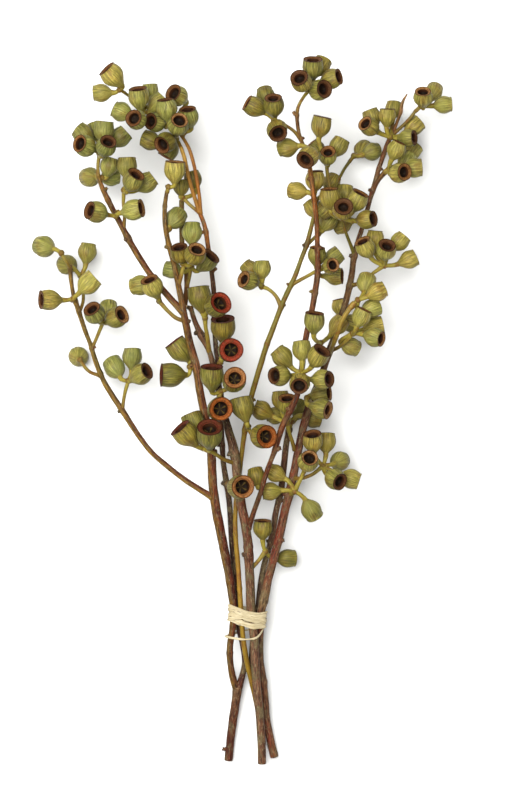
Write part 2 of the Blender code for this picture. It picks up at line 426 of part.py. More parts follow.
def ease_apart(clusters):
    """Raises and lowers the nuts until none touches another, a twig or the surface."""
    nuts = [nut for group in clusters.values() for nut in group]
    owner = np.array([i for i, group in enumerate(clusters.values()) for _ in group])
    fixed = [ball for branch in BRANCHES.values() for route in branch.values() for ball in route_balls(route)]
    fixed_owner = [-1] * len(fixed)
    for i, (_, stalk, _) in enumerate(CLUSTERS.values()):
        balls = route_balls(stalk)
        fixed += balls
        fixed_owner += [i] * len(balls)
    fixed = np.array(fixed)
    fixed_owner = np.array(fixed_owner)
    for _ in range(EASE_ROUNDS):
        mine = np.array([nut.balls() for nut in nuts])
        for i, nut in enumerate(nuts):
            others = mine[np.arange(len(nuts)) != i].reshape(-1, 4)
            kin = np.repeat((owner == owner[i])[np.arange(len(nuts)) != i], mine.shape[1])
            same = np.tile(np.arange(mine.shape[1]) >= len(NUT_BALLS), len(nuts) - 1) & kin
            push = 0.0
            for k, (x, y, z, radius) in enumerate(mine[i]):
                is_pedicel = k >= len(NUT_BALLS)
                near = others[~kin] if is_pedicel else others[~same]
                twigs = fixed[fixed_owner != owner[i]]
                for rows, part in ((near, 0.5), (twigs, 1.0)):
                    apart = radius + rows[:, 3] + EASE_GAP
                    flat = (rows[:, 0] - x) ** 2 + (rows[:, 1] - y) ** 2
                    needed = np.sqrt(np.maximum(apart**2 - flat, 0))
                    short = needed - np.abs(z - rows[:, 2])
                    found = np.where(short > 0, short * np.where(z >= rows[:, 2], 1, -1), 0)
                    if len(found):
                        push += part * (found.max(initial=0) + found.min(initial=0))
            nut.height = max(nut.height + EASE_SHARE * push, nut.reach_down)


def frame_along(direction, before=None):
    """Two unit vectors square to a direction, turned as little as possible from the last pair."""
    start = before if before is not None else Vector((0, 0, 1))
    side = start - direction * start.dot(direction)
    if side.length < SMALLEST_SIDE:
        side = Vector((1, 0, 0)) - direction * direction.x
    side.normalize()
    return side, direction.cross(side)


def skin(name, rings, start_point=None, end_point=None):
    """A closed mesh object through rings of equal count, with flat or pointed ends."""
    sides = len(rings[0])
    points = [point for ring in rings for point in ring]
    faces = []
    for level in range(len(rings) - 1):
        for i in range(sides):
            a, b = level * sides + i, level * sides + (i + 1) % sides
            faces.append((a, b, b + sides, a + sides))
    if start_point is None:
        faces.append(tuple(reversed(range(sides))))
    else:
        points.append(start_point)
        faces += [((i + 1) % sides, i, len(points) - 1) for i in range(sides)]
    top = (len(rings) - 1) * sides
    if end_point is None:
        faces.append(tuple(range(top, top + sides)))
    else:
        points.append(end_point)
        faces += [(top + i, top + (i + 1) % sides, len(points) - 1) for i in range(sides)]
    mesh = bpy.data.meshes.new(name)
    mesh.from_pydata(points, [], faces)
    mesh.update()
    obj = bpy.data.objects.new(name, mesh)
    bpy.context.scene.collection.objects.link(obj)
    return obj


def ring(centre, side, up, radius, sides):
    turns = (2 * math.pi * i / sides for i in range(sides))
    return [centre + (side * math.cos(turn) + up * math.sin(turn)) * radius for turn in turns]


def tube(name, route, sides, extra=0.0):
    """A round rod along a route, wider by extra on every side."""
    centres, radii = spine(route)
    rings = []
    side = None
    for i, centre in enumerate(centres):
        before = centres[max(i - 1, 0)]
        after = centres[min(i + 1, len(centres) - 1)]
        side, up = frame_along((after - before).normalized(), side)
        rings.append(ring(centre, side, up, radii[i] + extra, sides))
    return skin(name, rings)


def knob(name, point):
    """A small bead where pedicels meet."""
    centre = place(*point[:3])
    radius = KNOB_WIDTH / 2 * MM
    across, up, out = (Vector(row) for row in Matrix.Identity(3))
    rings = [
        ring(centre + out * radius * math.sin(turn), across, up, radius * math.cos(turn), KNOB_SIDES)
        for turn in (-KNOB_RING_ANGLE, KNOB_RING_ANGLE)
    ]
    return skin(name, rings, centre - out * radius, centre + out * radius)


def nut_solid(name, nut):
    """A nut with its pedicel, from inside the knob to the dimpled mouth."""
    direction = nut.pedicel(0)[1]
    side, up = frame_along(direction)
    start = nut.junction + direction * KNOB_WIDTH * PEDICEL_START * MM
    rings = [ring(start, side, up, PEDICEL_WIDTH / 2 * MM, NUT_SIDES)]
    if direction.angle(nut.axis) > SHARP_BEND:
        middle, direction = nut.pedicel(0.5)
        side, up = frame_along(direction, side)
        rings.append(ring(middle, side, up, PEDICEL_WIDTH / 2 * MM, NUT_SIDES))
    side, up = frame_along(nut.axis, side)
    for along, radius in NUT_PROFILE:
        rings.append(ring(nut.along(along), side, up, radius * nut.width, NUT_SIDES))
    return skin(name, rings, end_point=nut.along(NUT_DIMPLE))


def make_helper(obj, group):
    """Hides an object and moves it into a group that a Boolean reads."""
    obj.hide_render = True
    obj.display_type = "WIRE"
    bpy.context.scene.collection.objects.unlink(obj)
    group.objects.link(obj)


def helper_group(name):
    group = bpy.data.collections.new(name)
    group.hide_render = True
    bpy.context.scene.collection.children.link(group)
    return group


def boolean(obj, name, group, operation):
    """Joins or cuts an object with each member of a group in turn."""
    for other in group.objects:
        modifier = obj.modifiers.new(f"{name} {other.name}", "BOOLEAN")
        modifier.object = other
        modifier.operation = operation
        modifier.solver = "EXACT"
        modifier.use_self = operation == "UNION"


def finish(obj, colour, roughness):
    material = bpy.data.materials.new(obj.name)
    material.use_nodes = True
    shader = material.node_tree.nodes["Principled BSDF"]
    shader.inputs["Base Color"].default_value = (*colour, 1)
    shader.inputs["Roughness"].default_value = roughness
    material.diffuse_color = (*colour, 1)
    obj.data.materials.append(material)
    obj.data.shade_smooth()
    obj.data.set_sharp_from_angle(angle=SHARP_EDGE)


def build_branch(name, routes):
    """The woody part of a branch in one solid, and the group of sleeves that clear it."""
    sleeves = helper_group(name + "_sleeves")
    twigs = helper_group(name + "_twigs")
    body = None
    for key, route in routes.items():
        sides = STEM_SIDES if max(point[3] for point in route) > THICK_STEM else TWIG_SIDES
        rod = tube(f"{name}_{key}", route, sides)
        make_helper(tube(f"{name}_{key}_sleeve", route, sides, TOUCHING_GAP * MM), sleeves)
        if body is None:
            body = rod
            body.name = name
        else:
            make_helper(rod, twigs)
    if twigs.objects:
        boolean(body, "Join twigs", twigs, "UNION")
    finish(body, COLOURS[name], BARK_ROUGHNESS)
    return sleeves


def build_cluster(name, stalk, nuts, sleeves):
    """A stalk and its nuts in one solid, cut off just clear of the branch."""
    group = helper_group(name + "_nuts")
    body = tube(name, stalk, TWIG_SIDES)
    make_helper(knob(f"{name}_knob", stalk[-1]), group)
    for i, nut in enumerate(nuts):
        make_helper(nut_solid(f"{name}_nut_{i + 1}", nut), group)
    boolean(body, "Join nuts", group, "UNION")
    boolean(body, "Clear of the branch", sleeves, "DIFFERENCE")
    finish(body, COLOURS["nuts"], NUT_ROUGHNESS)


def at_level(route, y):
    """Where a route crosses a level of the view, as x, height and width, or None."""
    for start, end in zip(route, route[1:]):
        low, high = sorted((start[1], end[1]))
        if low <= y <= high:
            share = (y - start[1]) / (end[1] - start[1])
            return [start[i] + (end[i] - start[i]) * share for i in (0, 2, 3)]
    return None


def hull(points):
    """Convex outline of points in a plane, anticlockwise."""
    ordered = sorted(set(points))
    lower, upper = [], []
    for line, source in ((lower, ordered), (upper, reversed(ordered))):
        for p in source:
            while len(line) > 1:
                a, b = line[-2], line[-1]
                if (b[0] - a[0]) * (p[1] - a[1]) - (b[1] - a[1]) * (p[0] - a[0]) > 0:
                    break
                line.pop()
            line.append(p)
    return lower[:-1] + upper[:-1]


def wrap_outline(levels, clearance, count):
    """A loop in the X Z plane, in millimetres, that goes round every stem at these levels."""
    dots = []
    for y in levels:
        for branch in BRANCHES.values():
            for route in branch.values():
                cross = at_level(route, y)
                if cross is None:
                    continue
                centre = place(cross[0], y, cross[1]) / MM
                for i in range(WRAP_DOTS):
                    turn = 2 * math.pi * i / WRAP_DOTS
                    far = cross[2] / 2 + clearance
                    dots.append((centre.x + far * math.cos(turn), centre.z + far * math.sin(turn)))
    corners = hull(dots)
    lengths = [math.dist(a, b) for a, b in zip(corners, corners[1:] + corners[:1])]
    loop = []
    for i in range(count):
        left = sum(lengths) * i / count
        k = 0
        while left > lengths[k]:
            left -= lengths[k]
            k += 1
        a, b = corners[k], corners[(k + 1) % len(corners)]
        share = left / lengths[k]
        loop.append((a[0] + (b[0] - a[0]) * share, a[1] + (b[1] - a[1]) * share))
    return loop


def closed_band(name, loop, section):
    """A solid ring: section gives the corners of its profile at a point of the loop."""
    rings = [section(i, point) for i, point in enumerate(loop)]
    sides = len(rings[0])
    points = [Vector(point) * MM for profile in rings for point in profile]
    faces = []
    for i in range(len(rings)):
        j = (i + 1) % len(rings)
        for k in range(sides):
            m = (k + 1) % sides
            faces.append((i * sides + k, j * sides + k, j * sides + m, i * sides + m))
    mesh = bpy.data.meshes.new(name)
    mesh.from_pydata(points, [], faces)
    mesh.update()
    obj = bpy.data.objects.new(name, mesh)
    bpy.context.scene.collection.objects.link(obj)
    return obj


def loop_normals(loop):
    """Outward unit normals of an anticlockwise loop."""
    found = []
    for i in range(len(loop)):
        a, b = loop[i - 1], loop[(i + 1) % len(loop)]
        length = math.dist(a, b)
        found.append(((b[1] - a[1]) / length, (a[0] - b[0]) / length))
    return found


def build_tie():
    """The raffia: a broad band of turns and a single strand below it, in one solid."""
    band_loop = wrap_outline(BAND_LEVELS, TOUCHING_GAP, BAND_POINTS)
    band_normals = loop_normals(band_loop)
    middle = place(*BAND_MIDDLE, VIEW_HEIGHT) / MM

    def band_section(i, point):
        normal = band_normals[i]
        level = middle.y - BAND_SLOPE * (point[0] - middle.x)
        low, high = level - RAFFIA_BAND_WIDTH / 2, level + RAFFIA_BAND_WIDTH / 2
        outer = [point[j] + normal[j] * RAFFIA_THICKNESS for j in (0, 1)]
        return [
            (point[0], low, point[1]), (outer[0], low, outer[1]),
            (outer[0], high, outer[1]), (point[0], high, point[1]),
        ]

    strand_loop = wrap_outline(STRAND_LEVELS, TOUCHING_GAP + RAFFIA_STRAND_WIDTH / 2, STRAND_POINTS)
    strand_normals = loop_normals(strand_loop)
    strand_y = place(0, STRAND_LEVEL, VIEW_HEIGHT).y / MM

    def strand_section(i, point):
        normal = strand_normals[i]
        far = RAFFIA_STRAND_WIDTH / 2
        found = []
        for step in range(TWIG_SIDES):
            turn = -2 * math.pi * step / TWIG_SIDES
            out = far * math.cos(turn)
            found.append((
                point[0] + normal[0] * out, strand_y + far * math.sin(turn), point[1] + normal[1] * out,
            ))
        return found

    band = closed_band("raffia_tie", band_loop, band_section)
    group = helper_group("raffia_strands")
    make_helper(closed_band("raffia_strand", strand_loop, strand_section), group)
    make_helper(tube("raffia_riser", RISER, TWIG_SIDES), group)
    boolean(band, "Join strands", group, "UNION")
    finish(band, COLOURS["raffia_tie"], BARK_ROUGHNESS)


def main():
    for obj in list(bpy.data.objects):
        bpy.data.objects.remove(obj)
    clusters = {
        name: [Nut(stalk[-1], row) for row in rows] for name, (_, stalk, rows) in CLUSTERS.items()
    }
    ease_apart(clusters)
    sleeves = {name: build_branch(name, routes) for name, routes in BRANCHES.items()}
    for name, (branch, stalk, _) in CLUSTERS.items():
        build_cluster(name, stalk, clusters[name], sleeves[branch])
    build_tie()


main()
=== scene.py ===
import math

import bpy
import numpy as np
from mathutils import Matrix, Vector, noise


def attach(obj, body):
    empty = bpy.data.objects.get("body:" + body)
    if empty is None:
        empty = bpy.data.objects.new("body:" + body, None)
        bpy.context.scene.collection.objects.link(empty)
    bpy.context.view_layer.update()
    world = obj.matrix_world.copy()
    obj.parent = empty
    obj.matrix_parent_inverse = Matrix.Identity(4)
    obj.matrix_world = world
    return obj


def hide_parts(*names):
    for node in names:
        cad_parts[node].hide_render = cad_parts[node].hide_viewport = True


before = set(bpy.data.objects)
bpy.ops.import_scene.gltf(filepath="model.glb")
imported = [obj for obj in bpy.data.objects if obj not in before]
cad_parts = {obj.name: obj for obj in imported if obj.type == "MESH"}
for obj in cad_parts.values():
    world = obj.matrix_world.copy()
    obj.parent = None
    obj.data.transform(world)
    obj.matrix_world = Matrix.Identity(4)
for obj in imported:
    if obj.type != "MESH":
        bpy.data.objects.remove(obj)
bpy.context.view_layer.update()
print("frame loaded,", len(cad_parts), "nodes")

# The bunch lies on the floor. Every route and nut is placed as the solids are: x and y are pixels
# of the view straight down, height and width are millimetres.
layout = {
    "mmPerPixel": 0.70,  # at the middle height of the bunch
    "middleHeight": 45.0,
    "viewDistance": 2200.0,  # from the camera to the floor
    "centreX": 241.8,
    "centreY": 413.4,
    "touchingGap": 0.3,
    "easeGap": 0.6,
    "pedicelWidth": 2.6,
    "umbelDepth": 15.0,
    # a nut's outline and the balls that stand for it, as shares of its width along its axis
    "nutOutline": ((-0.60, 0.15), (-0.34, 0.38), (0.02, 0.50), (0.43, 0.42)),
    "nutBalls": ((-0.32, 0.32), (0.0, 0.50), (0.20, 0.47)),
    "bendShare": 0.5,
    "bendMost": 0.3,
    "easeRounds": 60,
    "easeShare": 0.35,
}
mm = 0.001

# Every route of a branch: x, y, height, width
leftBranch = {
    "foot": [
        (228, 760.5, 2.9, 5.7), (230, 741, 4.5, 6.0), (232.5, 720, 6.3, 6.2), (235, 704, 7.8, 6.2),
        (237, 688, 9.2, 6.4),
    ],
    "main": [
        (236.5, 692, 9.0, 5.2), (233.6, 682, 10.2, 5.0), (230.8, 669, 13, 4.7), (229.4, 656, 16.5, 4.6),
        (229.7, 645, 19, 4.6), (232.3, 629, 21.3, 4.9), (233.5, 614, 22, 5.3), (231.5, 592, 23.5, 6.0),
        (226, 560, 26, 6.5), (221, 535, 28.5, 6.7), (216, 509, 31, 6.7), (213, 488, 33, 6.4),
        (212, 471, 35, 6.3), (211, 452, 37, 6.2), (208, 430, 39, 6.0), (204, 412, 41, 5.8),
        (200.5, 395, 42.5, 5.6), (195.5, 364, 46.5, 5.4), (190, 343, 49, 5.2), (186, 325, 51.3, 5.0),
        (183, 308, 53, 4.8), (178, 283, 57, 4.0), (174.5, 266, 59, 3.7), (169, 245, 60, 3.5),
        (165, 222, 60, 3.3), (165, 206, 60.5, 3.0), (167, 191, 61, 2.8),
    ],
    "orange_stem": [
        (237.5, 690, 9.0, 4.8), (241, 679, 9.2, 4.6), (244.5, 663, 9.8, 4.4), (242.5, 645, 11.5, 4.3),
        (238.5, 629, 13.2, 4.2), (237.5, 614, 14, 4.2), (235, 592, 15.5, 4.2), (233, 560, 18, 4.2),
        (231, 535, 20, 4.1), (229, 503, 23, 4.0), (226.5, 484, 25, 4.0), (223, 462, 27, 3.9),
        (222, 445, 29, 3.8), (220, 405, 30.5, 3.6), (218, 367, 33.5, 3.6), (215.5, 345, 35, 3.5),
        (214, 318, 36.5, 3.5), (213.5, 290, 38, 3.5), (211, 268, 40, 3.4), (208, 246, 43, 3.3),
        (204, 224, 46, 3.2), (199, 211, 47.5, 3.2),
    ],
    "orange_left": [
        (199.5, 213, 47.5, 3.0), (195.5, 200, 49, 2.9), (191, 186, 51, 2.8), (187.5, 172, 53, 2.8),
        (184.5, 158, 54, 2.8), (181, 147, 53, 2.6),
    ],
    "orange_right": [
        (200.5, 214, 47.5, 2.8), (199.5, 198, 50, 2.6), (197, 180, 52, 2.5), (193.5, 163, 53, 2.5),
        (190, 151, 53, 2.5), (185, 141, 51, 2.4), (180, 134, 47, 2.3), (172, 127, 41, 2.2),
        (160, 117, 36.5, 2.1), (148, 108, 35, 2.1), (136, 101, 36, 2.0), (129, 96, 39, 2.0),
        (122, 91, 43, 2.0),
    ],
    "left_arm": [
        (184, 313, 52.5, 4.6), (170, 298, 52, 4.5), (151, 275, 50.5, 4.4), (133, 247, 49.5, 4.3),
        (120, 223, 50, 4.1), (108, 200, 52, 3.8), (102, 187, 53, 3.4), (98, 175, 54, 2.8),
    ],
    "inner_twig": [
        (184, 306, 51, 3.8), (186.5, 291, 45, 3.7), (186, 270, 39, 3.6), (182.5, 250, 37, 3.6),
        (181.5, 225, 37, 3.6), (181.5, 200, 38, 3.6),
    ],
    "low_side": [
        (212, 497, 32, 4.4), (202, 491, 33, 4.2), (185, 480, 33, 4.0), (168, 467, 32, 3.8),
        (152, 453, 30, 3.7), (140, 438, 29, 3.8), (130, 423, 28, 4.0), (121, 409, 27.5, 4.2),
        (113, 397, 27, 4.0), (105, 384, 27, 3.8), (99, 371, 27.5, 3.6), (94, 357, 28, 3.5),
        (90, 344, 28.5, 3.3), (85, 331, 29, 3.2), (81, 319, 29.5, 3.3), (77.5, 308, 30, 3.6),
        (74, 298, 30.5, 3.2), (71.5, 285, 31, 2.9), (69.5, 265, 32, 3.6),
    ],
}
centreBranch = {
    "main": [
        (261.6, 763.7, 10, 5.9), (261, 741, 12.8, 5.9), (259, 712, 15.8, 6.0), (257, 690, 17.8, 6.1),
        (255, 665, 19.3, 6.3), (254, 640, 20.8, 6.4), (251, 614, 22, 6.5), (250, 592, 24.5, 6.5),
        (249, 568, 27.5, 6.5), (248, 547, 30.5, 6.6), (245, 524, 34, 6.6), (241, 503, 36.2, 6.3),
        (237.5, 480, 38, 6.2), (235, 458, 39, 6.3), (232, 443, 40, 6.2), (227, 425, 41, 5.4),
        (220, 395, 41, 4.6), (213.5, 366, 40.3, 4.2), (208.5, 350, 40, 3.9), (201, 335, 40, 4.6),
        (195, 322, 40.5, 3.6), (190, 306, 41, 3.4),
    ],
    "front_stem": [
        (248, 529, 33, 3.8), (254, 511, 38, 3.6), (261, 491, 44, 3.5), (267, 471, 48.5, 3.4),
        (275, 450, 53, 3.7), (283, 425, 57, 4.4), (291, 409, 59, 4.3), (297, 396, 60, 4.0),
        (301, 376, 62, 4.2), (304, 350, 63, 4.2), (308, 328, 63, 4.2), (312, 310, 62, 4.1),
        (315, 293, 61, 4.3), (318, 270, 60, 4.2), (317.5, 248, 60, 3.4), (317, 225, 61, 3.6),
        (314, 198, 62, 3.5), (311.5, 180, 62, 3.3), (309.5, 165, 62, 3.1), (304.5, 148, 62, 2.8),
        (300, 137, 62, 2.7), (297.5, 122, 61.5, 2.6), (297, 113, 61, 2.6),
    ],
}
yellowBranch = {
    "main": [
        (261, 745, 4.4, 4.0), (259.3, 725, 6.6, 4.0), (256, 703, 9.6, 3.9), (251.7, 684, 12.6, 3.8),
        (246.6, 662, 17.8, 3.7), (243, 640, 22, 3.6), (241, 614, 25, 3.5), (239.5, 590, 27.5, 3.5),
        (237.6, 562, 29.5, 3.4), (235.7, 541, 30.5, 3.4), (235, 520, 31, 3.3), (236, 500, 31, 3.3),
        (238, 484, 31.8, 3.3), (240, 466, 33.5, 3.4), (242, 450, 36, 3.5), (245, 429, 40, 3.6),
        (250, 402, 43.5, 3.8), (256.5, 378, 46, 3.9), (262, 360, 47, 4.0), (267, 344, 48, 3.9),
        (272, 331, 48.3, 3.8), (278, 315, 48.5, 3.7), (283, 302, 48.5, 3.6), (290, 287, 48.5, 3.6),
        (295, 276, 48.5, 3.4), (300.5, 261, 48.3, 3.2), (306.5, 245, 48.3, 3.4), (311.5, 226, 49, 3.0),
        (315.5, 210, 50.5, 2.8),
    ],
}
rightBranch = {
    "main": [
        (273.8, 757, 3.05, 6.0), (269.5, 738, 5.5, 5.8), (265.5, 716, 8.0, 5.6), (264.5, 700, 9.8, 5.6),
        (262.5, 680, 12.0, 5.5), (259.5, 658, 13.6, 5.3), (259.3, 641, 15.2, 5.3), (260, 627, 17.4, 5.4),
        (260.5, 614, 20, 5.6),
        (264, 598, 21.5, 6.3), (268, 579, 23, 6.0), (273, 560, 25, 6.0), (278, 541, 27, 6.1),
        (283.5, 516, 29, 6.2), (288.6, 495, 30, 6.1), (294, 471, 31, 6.0), (299, 446, 32, 5.8),
        (304, 424, 32.5, 5.7), (309, 406, 33, 5.4), (316, 388, 33, 5.0), (323, 370, 33, 4.8),
        (329, 352, 33, 4.8), (334, 337, 33, 4.6), (340, 320, 33, 4.6), (345, 304, 33, 4.6),
        (348.5, 290, 32.5, 4.6), (351.5, 275, 32, 4.5), (354, 256, 32, 4.4), (358, 240, 32, 3.4),
        (362, 228, 31.5, 3.3), (366, 214, 31, 3.3), (370, 199, 31, 3.4), (374.5, 184, 31, 3.6),
        (378.5, 169, 30.5, 3.4), (384, 153, 30, 3.4), (388, 142, 30, 3.3), (392, 134, 30, 3.0),
    ],
    "dry_tip": [
        (391, 137, 30, 2.8), (396.5, 123, 31, 2.2), (400.5, 112, 31.5, 2.4), (402.5, 102, 31.5, 2.2),
        (407, 94, 31.5, 0.9),
    ],
    "tip_twig": [(391, 136, 30, 2.8), (399, 129, 31, 2.4), (410, 118, 33, 2.3), (416, 110, 34, 2.4)],
    "crossing_twig": [
        (329, 353, 33, 3.4), (331.5, 348, 42, 3.4), (334.5, 341, 50.5, 3.4), (338, 332, 54.5, 3.4),
        (341, 323, 56.5, 3.3), (346, 314, 57.5, 3.4), (351, 307, 57.5, 3.8), (355, 302.5, 57.5, 4.0),
    ],
    "inner_twig": [
        (354.5, 255, 32, 3.0), (350.5, 245, 36, 2.5), (347, 236, 40, 2.4), (344, 227, 43, 2.4),
        (341.5, 216, 45, 2.4), (338, 205, 44.8, 2.4), (334, 196, 44.3, 2.4), (330.5, 190, 44, 2.4),
    ],
    "far_twig": [
        (334, 196, 44.3, 2.2), (337, 184, 39, 2.2), (343, 171, 31, 2.2), (350, 160.5, 22, 2.4),
    ],
    "upper_twig": [(372.5, 191, 31, 3.0), (379, 179, 33, 3.3), (385, 172, 34, 3.6)],
}
darkStem = {
    "main": [
        (251.5, 672, 8.6, 4.0), (251.3, 655, 10, 4.0), (252.8, 636, 11.4, 4.0), (255, 625, 12.8, 4.0),
        (257, 614, 14, 4.2), (259.5, 590, 14.8, 4.2), (263.5, 566, 15.6, 4.2), (268, 550, 16.4, 4.2),
        (272, 535, 18, 4.2), (276, 510, 20, 4.3), (280, 494, 21, 4.5), (283.5, 466, 22, 4.6),
        (287, 438, 23, 4.2), (289.5, 427, 24, 3.8),
    ],
}
branches = {
    "left_branch": leftBranch,
    "centre_branch": centreBranch,
    "yellow_branch": yellowBranch,
    "right_branch": rightBranch,
    "short_dark_stem": darkStem,
}

